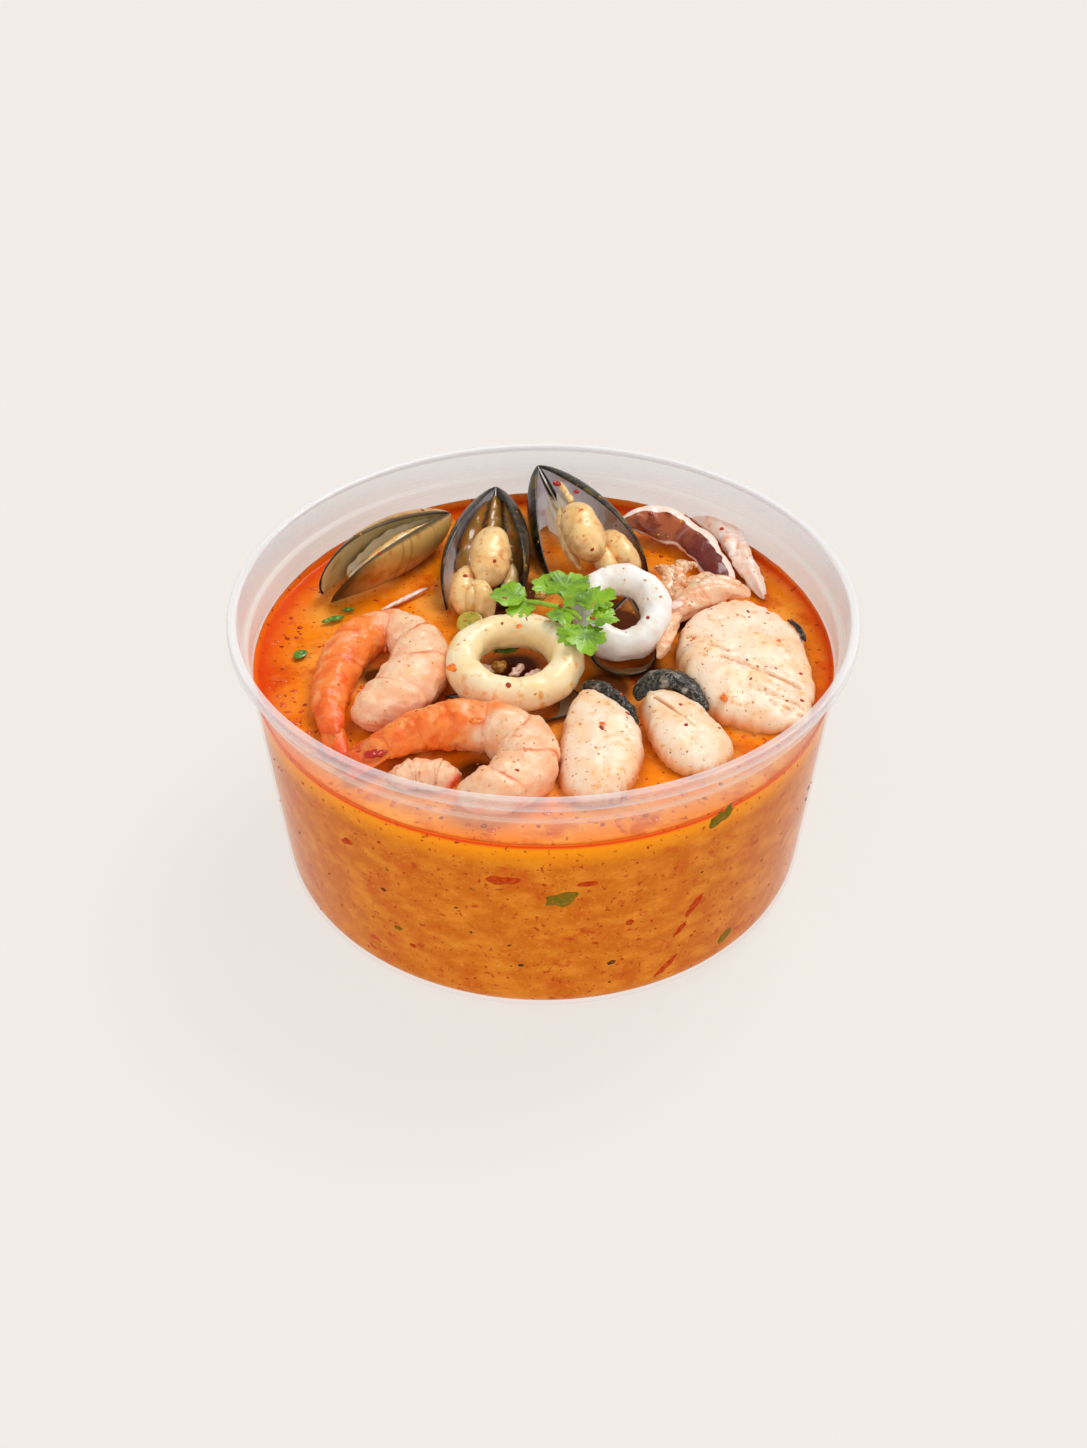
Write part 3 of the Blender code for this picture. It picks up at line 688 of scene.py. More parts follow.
musselLobes = {
    "middle": [
        [(-12.9, 37.5, 10.5, 3.6, 3.2), (-13.2, 30.0, 10.0, 5.2, 4.2), (-13.6, 23.0, 8.0, 4.8, 4.0),
         (-14.2, 19.0, 5.0, 3.4, 3.0)],
        [(-18.5, 27.0, 6.0, 2.6, 2.6), (-20.0, 20.5, 5.0, 3.2, 3.2), (-20.0, 15.5, 3.0, 2.8, 3.0),
         (-18.5, 13.0, 0.5, 2.0, 2.0)],
        [(-16.5, 21.0, 6.0, 2.6, 2.6), (-15.5, 16.0, 4.5, 3.4, 3.4), (-14.8, 12.6, 2.0, 2.8, 2.6),
         (-14.4, 11.0, 0.0, 2.0, 2.0)],
        [(-18.6, 22.0, 5.5, 2.0, 2.2), (-17.8, 16.5, 4.4, 2.4, 2.6), (-17.0, 12.5, 1.8, 2.2, 2.4)],
        [(-9.6, 32.0, 4.5, 1.6, 2.0), (-8.4, 27.0, 3.6, 2.2, 2.2), (-9.0, 22.0, 2.0, 2.0, 2.0),
         (-10.0, 18.0, 0.5, 1.6, 1.6)],
    ],
    "right": [
        [(7.4, 47.5, 11.5, 3.0, 2.8), (9.2, 41.5, 10.8, 5.0, 4.4), (11.0, 35.0, 9.0, 5.0, 4.4),
         (12.8, 29.5, 6.5, 4.4, 3.4)],
        [(16.0, 43.0, 6.5, 2.0, 2.0), (18.5, 38.0, 6.0, 3.6, 3.0), (21.5, 33.5, 4.5, 3.4, 3.0),
         (24.0, 30.5, 2.0, 2.4, 2.2)],
        [(13.5, 36.0, 6.0, 2.0, 2.4), (16.0, 31.5, 4.5, 2.8, 2.6), (18.0, 28.0, 2.5, 2.2, 2.2)],
        [(4.4, 51.0, 9.0, 0.9, 0.9), (4.6, 44.5, 7.0, 1.2, 1.2), (6.4, 37.5, 4.5, 1.3, 1.3),
         (9.6, 31.5, 2.0, 1.2, 1.2)],
        [(4.2, 58.0, 12.5, 0.7, 0.7), (5.6, 53.5, 12.5, 0.8, 0.8), (7.4, 48.5, 12.0, 1.2, 1.2)],
    ],
    "left": [
        [(-28.0, 44.6, 8.4, 0.9, 0.9), (-34.0, 37.4, 9.0, 1.7, 1.5), (-41.0, 29.6, 8.0, 1.9, 1.6),
         (-47.5, 23.0, 5.6, 1.1, 1.0)],
        [(-31.5, 43.6, 7.8, 0.7, 0.8), (-38.0, 36.8, 8.0, 0.9, 1.0), (-44.5, 30.0, 6.6, 0.8, 1.0)],
    ],
}


def lobesOf(routes, seed):
    lobes = []
    for index, route in enumerate(routes):
        lobe = sweep(route, 40, 48, 3, up, lambda share, angle: 0.05 * math.sin(3 * angle + 7 * share))
        roughen(lobe, 4.0, 0.28, seed + index)
        roughen(lobe, 1.2, 0.05, seed + index)
        height = max(vert.co.z for vert in lobe.verts)

        # painted shade: the lobe is browner the lower it lies below its top, with some noise; the mantle
        # uses the same mark for its brown fold lines
        def shaded(vert):
            return max(0.0, min(1.0, 0.4 * noise.noise(vert.co / 2.2) + (height - vert.co.z) / 13))

        paint(lobe, "foldsAndShade", shaded)
        lobes.append(lobe)
    return merged(lobes)


def makeMussels():
    shellFinish, meatFinish, mantleFinish = cookedMusselShell(), musselMeat(), musselMantle()
    for name, row in mussels.items():
        beak, farEnd, mouth, size, gape, amber, pearlOrPaintedShadeA, pearlOrPaintedShadeB, mantleTop, pale = row
        placing = musselPlacing(beak, farEnd, mouth, size)
        hinge = Vector((0.4 * mussel["length"], -backHeight(0.4), 0))
        opening = Matrix.Rotation(math.radians(gape / 2), 4, hinge)
        for side, mirror, pearlOrPaintedShade in (("a", 1, pearlOrPaintedShadeA), ("b", -1, pearlOrPaintedShadeB)):
            opened = placing @ Matrix.Diagonal((1, 1, mirror, 1)) @ opening
            body = valveBody(gape * mirror)
            paint(body, "amber", lambda vert: amber)
            paint(body, "pearlOrPaintedShade", lambda vert: pearlOrPaintedShade)
            addPiece(f"mussel_{name}_shell_{side}", body, shellFinish,
                     [f"mussel_{name}_valve_{side}"], opened)
        lining = mantleBody(gape, 0.06, 0.80, mantleTop, gape)
        paint(lining, "pale", lambda vert: pale)
        addPiece(f"mussel_{name}_mantle", lining, mantleFinish, placing=placing)
        meat = lobesOf(musselLobes[name], gape)
        addPiece(f"mussel_{name}_flesh", meat, meatFinish, [f"mussel_{name}_meat"])
    for name, node, beak, farEnd, size in (
        ("cup_under_front_ring", "shell_under_front_ring", (-23.3, -19, 0.4), (5, -21, 0.4), 0.64),
        ("cup_under_back_ring", "shell_under_back_ring", (22, 24, 0.2), (19, -10, 0.2), 0.70),
    ):
        sideways = (Vector(farEnd) - Vector(beak)).cross(up)
        body = valveBody(size)
        paint(body, "amber", lambda vert: 0.0)
        paint(body, "pearlOrPaintedShade", lambda vert: 0.55)
        addPiece(name, body, shellFinish, [node],
                 musselPlacing(beak, farEnd, sideways, size))
    print("mussels made")


# Squid


def ringBody(radius, wall, height, oval, lump, seed):
    body = bmesh.new()
    section = bmesh.ops.create_circle(body, segments=40, radius=1.0)["verts"]
    stand = Matrix.Translation((radius, 0, 0)) @ Matrix.Diagonal((wall / 2, 1, height / 2, 1))
    bmesh.ops.transform(body, matrix=stand @ Matrix.Rotation(math.pi / 2, 4, "X"), verts=section)
    bmesh.ops.spin(
        body, geom=body.verts[:] + body.edges[:], cent=(0, 0, 0), axis=up, angle=math.tau, steps=150,
        use_merge=True
    )
    bmesh.ops.remove_doubles(body, verts=body.verts, dist=1e-4)
    bore = body.verts.layers.float.new("bore")
    for vert in body.verts:
        turn = math.atan2(vert.co.y, vert.co.x)
        middle = Vector((math.cos(turn), math.sin(turn), 0)) * radius
        out = (vert.co - middle).dot(middle.normalized()) / (wall / 2)
        vert[bore] = max(0.0, -out)
        uneven = 1 + lump * math.sin(2 * turn + 1.0) + 0.5 * lump * math.sin(5 * turn)
        uneven += 0.05 * noise.noise(Vector((3 * math.cos(turn), 3 * math.sin(turn), seed)))
        squarer = 1 + 0.10 * abs(vert.co.z / (height / 2) * out)
        place = middle + (vert.co - middle) * uneven * squarer
        vert.co = (place.x * (1 + oval), place.y * (1 - oval), place.z)
    roughen(body, 4.5, 0.35, seed)
    roughen(body, 1.2, 0.06, seed + 4)
    return body


def cookedSquid(name, main, shade, stain, amount):
    # blanched squid: firm, smooth and white, stained by the broth where it soaked it up, with painted shade
    # inside the ring's hole
    surface = {"Roughness": 0.36, "Subsurface Weight": 0.3, "Subsurface Scale": 0.002,
               "Coat Weight": 0.06, "Coat Roughness": 0.15}
    surface["Subsurface Radius"] = (1.0, 0.75, 0.55)
    layers = [
        ((6.0,), 0.42, 0.66, shade, 0.8),
        ((3.4, 3.0, 7.0), 0.56, 0.70, stain, amount),
        # painted shade: the inside of the ring's hole in the darker tone
        ("bore", 0.35, 1.0, shade, 0.9),
    ]
    return layeredMaterial(name, surface, main, layers, ((1.6, 3.0, 1.0, (1, 1, 0.4)), 0.14, 0.6))


def sweep(route, around, along, blunt=8, lean=up, swell=None):
    # a soft body along a route of (x, y, height above broth, half width, half height) rows
    body = ball(around, along)
    alongMark = body.verts.layers.float.new("along")
    aroundMark = body.verts.layers.float.new("around")
    for vert in body.verts:
        share = math.acos(min(max(-vert.co.z, -1.0), 1.0)) / math.pi
        angle = math.atan2(vert.co.y, vert.co.x)
        x, y, height, halfWidth, halfHeight = curveThrough(route, share)
        ahead = Vector(curveThrough(route, share + 0.02)[:3])
        ahead -= Vector(curveThrough(route, share - 0.02)[:3])
        side = ahead.cross(lean).normalized()
        top = side.cross(ahead).normalized()
        close = math.sqrt(max(1 - abs(2 * share - 1) ** blunt, 0.0))
        if swell:
            close *= 1 + swell(share, angle)
        across = side * halfWidth * math.cos(angle) + top * halfHeight * math.sin(angle)
        vert.co = aboveBroth(x, y, height) + across * close
        vert[alongMark] = share
        vert[aroundMark] = angle / math.pi
    return body


def squidSkin():
    # squid mantle with its skin on: glossy red brown, white where the flesh shows at the cut edges
    surface = {"Roughness": 0.28, "Specular IOR Level": 0.35, "Coat Weight": 0.12, "Coat Roughness": 0.06}
    layers = [
        ((3.0, 4.0), 0.46, 0.64, "#7A2A14", 0.9),
        ("along", 0.42, 0.62, "#66140E", 0.9),
        ("waist", 0.4, 1.0, "#B08088", 0.5),
        ("flesh", 0.30, 0.62, "#FBE2D2", 1.0),
    ]
    return layeredMaterial("squid with skin", surface, "#B05A32", layers, ((0.8, 3.0), 0.12, 0.6))


def cookedTentacle():
    # squid arms: pinkish, warty and curled by the heat
    surface = {"Roughness": 0.32, "Subsurface Weight": 0.25, "Subsurface Scale": 0.002,
               "Coat Weight": 0.3, "Coat Roughness": 0.1}
    layers = [
        ((2.2,), 0.45, 0.65, "#F0A068", 0.85),
        ((1.2, 2.0, 3.0), 0.64, 0.74, "#C07060", 0.6),
    ]
    return layeredMaterial("curled squid arms", surface, "#F8C8A0", layers, ((0.7,), 0.2, 0.8))


squidStrip = [
    (18.8, 50.4, 3.8, 0.7, 0.6), (25.4, 52.4, 4.2, 3.8, 1.7), (32.5, 51.0, 3.5, 5.2, 2.1),
    (38.5, 45.5, 3.0, 4.8, 2.2), (42.5, 38.0, 2.5, 4.4, 2.2), (45.0, 30.0, 2.0, 4.0, 2.0),
    (47.0, 22.0, 1.0, 2.8, 1.6),
]

squidLobe = [
    (40.0, 58.0, 1.4, 1.6, 1.2), (44.5, 53.0, 2.6, 2.8, 1.9), (48.4, 46.5, 3.2, 3.2, 2.1),
    (50.6, 39.0, 2.8, 3.2, 2.1), (52.8, 31.0, 1.8, 2.8, 2.0), (56.0, 22.0, -0.4, 1.8, 1.6),
]

squidSheets = [
    [(30.5, 8.5, 2.0, 2.6, 1.6), (35.5, 13.8, 3.4, 3.4, 1.8), (40.5, 17.8, 4.2, 3.8, 2.0),
     (46.0, 20.4, 4.4, 3.4, 1.8), (52.0, 19.4, 2.6, 2.4, 1.4)],
    [(27.5, -8.0, 3.0, 1.2, 1.0), (29.3, -3.6, 5.0, 1.8, 1.2), (30.6, 2.0, 5.4, 2.0, 1.4),
     (33.0, 8.0, 4.6, 2.0, 1.6)],
]

tentacles = [
    [(29.4, 27.5, 5.0, 1.7, 1.7), (31.2, 24.0, 6.6, 1.9, 1.9), (31.4, 20.0, 6.0, 1.8, 1.9),
     (30.4, 15.5, 3.5, 1.9, 2.1), (31.0, 11.0, 1.0, 1.8, 2.0)],
    [(37.5, 27.5, 5.0, 1.5, 1.5), (35.8, 27.2, 6.4, 1.7, 1.7), (34.0, 24.0, 6.4, 1.8, 1.8),
     (33.6, 19.5, 5.0, 1.9, 2.0), (33.4, 14.5, 2.0, 2.0, 2.2)],
    [(46.0, 24.5, 2.5, 1.3, 1.5), (41.5, 23.8, 4.2, 1.9, 2.0), (37.8, 20.8, 4.4, 2.2, 2.4),
     (34.0, 16.5, 2.5, 2.0, 2.2)],
    [(27.8, 22.0, 3.5, 1.2, 1.2), (28.6, 18.5, 4.8, 1.4, 1.4), (29.4, 15.0, 3.6, 1.5, 1.6),
     (30.6, 11.5, 1.5, 1.5, 1.6)],
]


def makeSquid():
    front = ringBody(12.0, 7.6, 8.8, 0.02, 0.05, 2.0)
    cream = cookedSquid("blanched squid stained by broth", "#FFECC4", "#FFDC9C", "#F2A432", 0.85)
    addPiece("squid_ring_at_front", front, cream, ["squid_ring_front"],
             Matrix.Translation(aboveBroth(-6.8, -14.0, 6.4)) @ Matrix.Rotation(math.radians(4), 4, "X"))
    white = cookedSquid("blanched white squid", "#FFF9F2", "#FFEEDF", "#F2D8C4", 0.5)
    addPiece("squid_ring_at_back", ringBody(8.8, 7.2, 9.0, -0.03, 0.06, 5.0), white,
             ["squid_ring_back"],
             Matrix.Translation(aboveBroth(18.9, 4.1, 8.0)) @ Matrix.Rotation(math.radians(27), 4, "X"))

    def pinched(share, angle):
        waist = bell(share - 0.47, 0.05) + bell(share - 0.68, 0.045)
        return -0.16 * waist + 0.05 * math.sin(angle * 3 + share * 20)

    strip = sweep(squidStrip, 48, 90, 6, Vector((0.1, -0.5, 0.8)), pinched)
    around = strip.verts.layers.float["around"]
    along = strip.verts.layers.float["along"]

    def fleshy(vert):
        edge = 0.62 + 0.06 * noise.noise(vert.co / 2.5)
        return 1.0 if vert[around] < 0 else max(bell(vert[around], 0.10),
            min(1.0, max(0.0, (vert[around] - edge) / 0.06)))

    paint(strip, "flesh", fleshy)
    paint(strip, "waist", lambda vert: bell(vert[along] - 0.47, 0.012))
    roughen(strip, 2.5, 0.25, 3.0)
    addPiece("squid_strip_with_skin", strip, squidSkin(), ["squid_strip"])

    lobe = sweep(squidLobe, 40, 60, 4, up, lambda share, angle: 0.10 * math.sin(4 * angle + 9 * share))
    paint(lobe, "bore", lambda vert: 0.0)
    roughen(lobe, 3.0, 0.5, 8.0)
    pink = cookedSquid("blanched squid tinged with oil", "#FCE6DA", "#FBC8A4", "#E88C5C", 0.8)
    addPiece("squid_white_lobe", lobe, pink, ["squid_lobe"])

    arms = []
    draw = random.Random(7)
    for route in tentacles:
        arms.append(sweep(route, 28, 44, 4, up,
                          lambda share, angle: 0.12 * math.sin(22 * share) + 0.08 * math.sin(3 * angle)))
        for step in range(9):
            share = 0.06 + 0.66 * step / 8
            x, y, height, halfWidth, halfHeight = curveThrough(route, share)
            for side in (-1, 1):
                sucker = ball(10, 7)
                reach = draw.uniform(0.6, 0.95) * halfWidth * side
                place = aboveBroth(x + reach, y - 0.5 + draw.uniform(-0.5, 0.5), height + 0.72 * halfHeight)
                sucker.transform(Matrix.Translation(place) @ Matrix.Scale(draw.uniform(0.45, 0.75), 4))
                arms.append(sucker)
    for route in squidSheets:
        arms.append(sweep(route, 32, 60, 4, Vector((0.2, -0.4, 0.9)),
                          lambda share, angle: 0.10 * math.sin(5 * angle + 12 * share)))
    bunch = merged(arms)
    roughen(bunch, 1.6, 0.22, 1.0)
    addPiece("squid_arms", bunch, cookedTentacle(), ["squid_tentacles"])
    print("squid made")


# Fish

fishPieces = {
    "large": {
        "outline": [(64.0, -8.0), (62.5, 4.5), (56.5, 12.8), (47.8, 15.2), (39.3, 10.5), (33.2, 2.4),
                    (32.4, -9.0), (35.0, -20.5), (42.0, -28.6), (51.8, -32.0), (60.6, -29.0),
                    (63.6, -19.0)],
        "top": 6.0, "slope": (-0.16, 0.08), "depth": 7.0, "flakes": 7.5, "turn": -35, "bow": 0.012,
        "clefts": 0.3, "frill": 0.018, "seed": 1.0,
        # clefts that hold broth: ends, half width
        "lines": [((42.0, -11.4), (60.0, -19.0), 0.5), ((36.5, -6.0), (44.0, -9.5), 0.3),
                  ((46.0, -20.5), (60.5, -25.5), 0.25),
                  ((50.0, -25.0), (60.0, -28.2), 0.2), ((34.5, -3.4), (38.5, -4.6), 0.4)],
    },
    "left": {
        "outline": [(22.3, -40.0), (20.6, -31.0), (15.5, -25.0), (9.0, -22.0), (5.2, -30.0), (3.6, -42.0),
                    (3.8, -52.0), (9.0, -57.5), (15.5, -56.5), (20.5, -50.0)],
        "top": 6.5, "slope": (0.0, 0.12), "depth": 6.0, "flakes": 11.0, "turn": 62, "bow": 0.01,
        "clefts": 0.12, "frill": 0.012, "lines": [], "seed": 4.0,
    },
    "middle": {
        "outline": [(43.0, -37.5), (39.5, -31.0), (35.0, -25.0), (28.0, -21.5), (23.0, -24.0),
                    (23.6, -33.5), (26.5, -42.0), (31.5, -47.0), (37.5, -46.5), (41.5, -42.5)],
        "top": 5.0, "slope": (-0.15, 0.15), "depth": 6.0, "flakes": 10.0, "turn": 50, "bow": 0.01,
        "clefts": 0.15, "frill": 0.02, "lines": [((25.5, -27.0), (34.0, -36.0), 0.25)], "seed": 9.0,
    },
}


def waver(pace, share, seed):
    # uneven, and the same again after a full turn
    return noise.noise(Vector((pace * math.cos(math.tau * share), pace * math.sin(math.tau * share), seed)))


def chunkBody(row):
    body = ball(150, 76)
    cleft = body.verts.layers.float.new("cleft")
    side = body.verts.layers.float.new("side")
    outline = row["outline"]
    middleX = sum(x for x, y in outline) / len(outline)
    middleY = sum(y for x, y in outline) / len(outline)
    waist = -1.0
    turn = math.radians(row["turn"])
    for vert in body.verts:
        share = (math.atan2(vert.co.y, vert.co.x) / math.tau) % 1.0
        edgeX, edgeY = curveThrough(outline, share, closed=True)
        ring = 1 - abs(math.asin(max(-1.0, min(1.0, vert.co.z)))) / (math.pi / 2)
        spread = math.sin(math.pi / 2 * ring) ** 0.9
        frill = 1 + spread**4 * row["frill"] * waver(26, share, row["seed"])
        frill += spread**4 * 0.04 * waver(9, share, row["seed"])
        awayX, awayY = (edgeX - middleX) * spread * frill, (edgeY - middleY) * spread * frill
        rise = math.copysign(max(1 - spread**3.6, 0.0) ** 0.3, vert.co.z)
        roof = row["top"] + row["slope"][0] * awayX + row["slope"][1] * awayY
        height = waist + rise * ((roof - waist) if rise > 0 else row["depth"])
        u = awayX * math.cos(turn) + awayY * math.sin(turn)
        v = -awayX * math.sin(turn) + awayY * math.cos(turn)
        u += row["bow"] * v * v + 0.6 * noise.noise(Vector((v / 5, row["seed"], 0)))
        line = (u / row["flakes"] + row["seed"] * 0.37) % 1.0
        line = min(line, 1 - line) * row["flakes"]
        groove = bell(line, 0.5) * (0.45 + 0.55 * noise.noise(Vector((u / 6, v / 6, row["seed"] + 2))))
        groove = max(groove, 0.0) * row["clefts"]
        here = Vector((middleX + awayX, middleY + awayY))
        wander = 0.7 * noise.noise(Vector((here.x / 3, here.y / 3, 5.0)))
        drawn = 0.0
        for start, end, halfWidth in row["lines"]:
            run = Vector(end) - Vector(start)
            place = min(max((here - Vector(start)).dot(run) / run.length_squared, 0.0), 1.0)
            drawn = max(drawn, bell((here - Vector(start) - run * place).length + wander * 0.6, halfWidth))
        groove = groove * 0.5 + drawn
        vert[cleft] = max(drawn, groove) if rise > 0.2 else 0.3 * groove
        vert[side] = 1 - max(rise, 0.0)
        fibre = row["frill"] * 0.8 * math.sin(u * 5.5
            + 2 * noise.noise(Vector((u, v, 0)) / 4)) * max(rise, 0.2)
        vert.co = aboveBroth(middleX + awayX, middleY + awayY,
                             height - (0.9 * groove if rise > 0 else 0) + fibre)
    roughen(body, 7.0, 0.45, row["seed"])
    roughen(body, 1.6, 0.06, row["seed"] + 3)
    return body


def whiteFish():
    # poached white fish: matt, moist and flaky, with broth caught in its clefts
    surface = {"Roughness": 0.42, "Subsurface Weight": 0.3, "Subsurface Scale": 0.003,
               "Coat Weight": 0.12, "Coat Roughness": 0.2}
    surface["Subsurface Radius"] = (1.0, 0.7, 0.45)
    layers = [
        ((7.0,), 0.42, 0.64, "#FFCB98", 0.85),
        ("cleft", 0.30, 0.9, "#DC8A24", 0.85),
        ("side", 0.36, 0.88, "#F2A050", 0.85),
        ((2.4, 3.0, 2.5), 0.60, 0.72, "#F0A43C", 0.7),
        ((0.8, 1.0, 5.5), 0.68, 0.74, "#D0700C", 0.8),
    ]
    fibres = (1.0, 3.0, 0.0, (1, 0.3, 1))
    return layeredMaterial("poached white fish", surface, "#FFE1C4", layers, (fibres, 0.12, 0.6))


fishSkin = {
    "fish_skin_left": [(8.4, -20.6, 3.8, 0.8, 0.7), (11.2, -21.6, 5.4, 1.6, 1.0),
                       (14.0, -23.8, 5.9, 1.8, 1.0), (16.9, -26.9, 5.7, 1.7, 1.0),
                       (19.5, -30.6, 4.9, 1.4, 1.0), (21.4, -34.2, 3.4, 0.8, 0.8)],
    "fish_skin_middle": [(21.6, -24.6, 2.8, 1.2, 0.9), (23.6, -21.6, 4.6, 2.6, 1.4),
                         (27.4, -20.0, 5.8, 3.4, 1.5), (31.6, -21.0, 5.6, 3.2, 1.5),
                         (35.2, -24.0, 4.4, 2.2, 1.3), (38.0, -28.0, 2.6, 1.0, 0.8)],
    "fish_skin_right": [(60.0, 8.0, 3.0, 0.5, 0.4), (61.6, 5.4, 3.4, 0.7, 0.6),
                        (62.8, 2.2, 3.4, 0.6, 0.6), (63.4, -0.8, 2.8, 0.5, 0.5)],
}


def darkFishSkin():
    # fish skin: black and silver scales under a wet film
    surface = {"Roughness": 0.30, "Coat Weight": 0.15, "Coat Roughness": 0.08, "Specular IOR Level": 0.35}
    made, tree, shader, coords = newMaterial("dark fish skin", surface)
    scales = {"Scale": 1 / (0.7 * metres)}
    cells = addNode(tree, "ShaderNodeTexVoronoi", scales, {"Vector": coords}).outputs["Distance"]
    colour = layered(tree, coords, "#1C1610", [
        (cells, 0.50, 0.85, "#5C5242", 0.9),
        ((2.4, 3.0), 0.56, 0.70, "#A89A84", 0.75),
    ])
    dress(tree, coords, shader, colour, (cells, 0.25, 0.8))
    return made


def makeFish():
    flesh, skin = whiteFish(), darkFishSkin()
    for name, row in fishPieces.items():
        addPiece(f"poached_fish_{name}", chunkBody(row), flesh, [f"fish_{name}"])
    for name, route in fishSkin.items():
        strip = sweep(route, 32, 70, 5, up, lambda share, angle: 0.05 * math.sin(5 * angle))
        roughen(strip, 2.2, 0.35, 2.0)
        addPiece(name, strip, skin)
    print("fish made")


# Prawns

prawns = {
    "left": {
        "route": [(-43.5, -30.5, 2.5, 6.0, 5.0), (-37.0, -26.0, 3.0, 7.6, 6.0),
                  (-31.5, -18.5, 3.5, 7.8, 6.2), (-29.5, -8.5, 3.5, 7.2, 5.8),
                  (-32.5, 0.0, 3.0, 6.2, 5.4), (-39.0, 3.0, 3.0, 5.6, 5.0), (-45.0, -2.0, 3.0, 5.6, 5.0),
                  (-48.5, -11.5, 2.5, 5.6, 4.8), (-49.5, -22.0, 2.0, 4.6, 4.0),
                  (-48.5, -31.5, 1.5, 3.4, 2.6), (-46.0, -38.5, 0.5, 2.6, 1.2)],
        "orangeFrom": 0.42, "seed": 1.0,
    },
    "front": {
        "route": [(-19.0, -56.0, 1.5, 5.0, 4.6), (-11.5, -56.5, 3.0, 6.6, 5.6),
                  (-5.0, -51.5, 3.5, 7.2, 6.2), (-4.0, -43.0, 4.0, 7.0, 6.2),
                  (-10.5, -36.8, 4.0, 6.6, 6.0), (-19.0, -35.0, 4.0, 6.0, 5.6),
                  (-27.0, -36.8, 4.0, 5.0, 5.0), (-33.5, -40.0, 3.5, 4.0, 3.6),
                  (-39.0, -43.5, 2.5, 4.0, 1.8), (-43.5, -46.5, 1.5, 3.4, 1.0)],
        "orangeFrom": 0.40, "seed": 6.0,
    },
    "low": {
        "route": [(-34.0, -49.5, -1.5, 3.4, 3.2), (-29.0, -47.5, -1.0, 4.6, 4.0),
                  (-23.5, -48.0, -1.0, 4.6, 4.2), (-19.5, -50.0, -2.0, 3.6, 3.6)],
        "orangeFrom": 2.0, "seed": 9.0,
    },
}
prawnRings = (0.14, 0.25, 0.36, 0.48, 0.60, 0.71, 0.83)


def prawnBody(row, rings):
    def swell(share, angle):
        step = 0.0
        for ring in rings:
            bent = ring + 0.024 * math.cos(angle) + 0.008 * math.sin(3 * angle)
            step -= 0.075 * bell(share - bent, 0.011)
            step += 0.055 * bell(share - bent + 0.028, 0.024)
        belly = -0.10 * max(0.0, -math.cos(angle)) * (0.6 + 0.4 * math.sin(60 * share))
        return step + belly

    body = sweep(row["route"], 72, 190, 8, up, swell)
    along, around = (body.verts.layers.float[name] for name in ("along", "around"))
    seed = row["seed"]

    def crease(vert):
        share, angle = vert[along], vert[around] * math.pi
        bend = 0.024 * math.cos(angle) + 0.008 * math.sin(3 * angle)
        bend += 0.006 * noise.noise(vert.co / 4 + Vector((seed, 3, 0)))
        found = max((bell(share - ring - bend, 0.006) for ring in rings), default=0.0)
        found *= 0.6 + 0.8 * noise.noise(vert.co / 5 + Vector((3, seed, 0)))
        web = abs(noise.noise(vert.co / 5.5 + Vector((seed, 0, 0))))
        web += 0.5 * abs(noise.noise(vert.co / 2.4 + Vector((0, seed, 0))))
        return max(found, 0.8 * bell(web, 0.06))

    def orange(vert):
        share, angle = vert[along], vert[around] * math.pi
        wander = 0.16 * noise.noise(vert.co / 5 + Vector((0, 0, seed)))
        tail = min(max((share - row["orangeFrom"] + wander) / 0.22, 0.0), 1.0)
        shoulder = 0.35 * max(0.0, math.cos(angle)) * (0.5 + noise.noise(vert.co / 3))
        return min(1.0, tail + max(0.0, shoulder))

    paint(body, "crease", crease)
    paint(body, "orange", orange)
    mark = body.verts.layers.float["crease"]
    body.normal_update()
    moves = [vert.normal * -0.28 * vert[mark] for vert in body.verts]
    for vert, move in zip(body.verts, moves):
        vert.co += move
    roughen(body, 4.0, 0.55, seed)
    roughen(body, 1.1, 0.14, seed + 2)
    return body


def cookedPrawn():
    # boiled prawn: pale pink flesh, orange skin over the back and tail, finer orange lines in every crease
    surface = {"Roughness": 0.38, "Specular IOR Level": 0.35, "Subsurface Weight": 0.25,
               "Subsurface Scale": 0.002}
    surface.update({"Coat Weight": 0.08, "Coat Roughness": 0.12})
    surface["Subsurface Radius"] = (1.0, 0.5, 0.3)
    made, tree, shader, coords = newMaterial("boiled prawn", surface)
    colour = layered(tree, coords, "#FFD2AC", [
        ((5.0,), 0.44, 0.66, "#FDB686", 0.85),
        ("orange", 0.12, 0.75, "#FF8428", 0.95),
        ((3.0, 4.0, 3.0, (1, 1, 0.6)), 0.54, 0.68, "#FFBC7C", 0.55),
    ])
    links = {0: follow(tree, coords, (4.0, 3.0, 8.0)), 1: follow(tree, coords, "orange")}
    flush = addNode(tree, "ShaderNodeMath", {"operation": "MULTIPLY"}, links).outputs[0]
    colour = layered(tree, coords, colour, [
        (flush, 0.46, 0.64, "#F0600C", 0.8),
        ("crease", 0.22, 0.8, "#E8641E", 0.8),
        ("along", 0.84, 0.97, "#F4480A", 0.9),
        ((0.8, 2.0, 5.0), 0.66, 0.74, "#D8641C", 0.7),
    ])
    dress(tree, coords, shader, colour, ((0.9, 4.0), 0.22, 0.7))
    return made


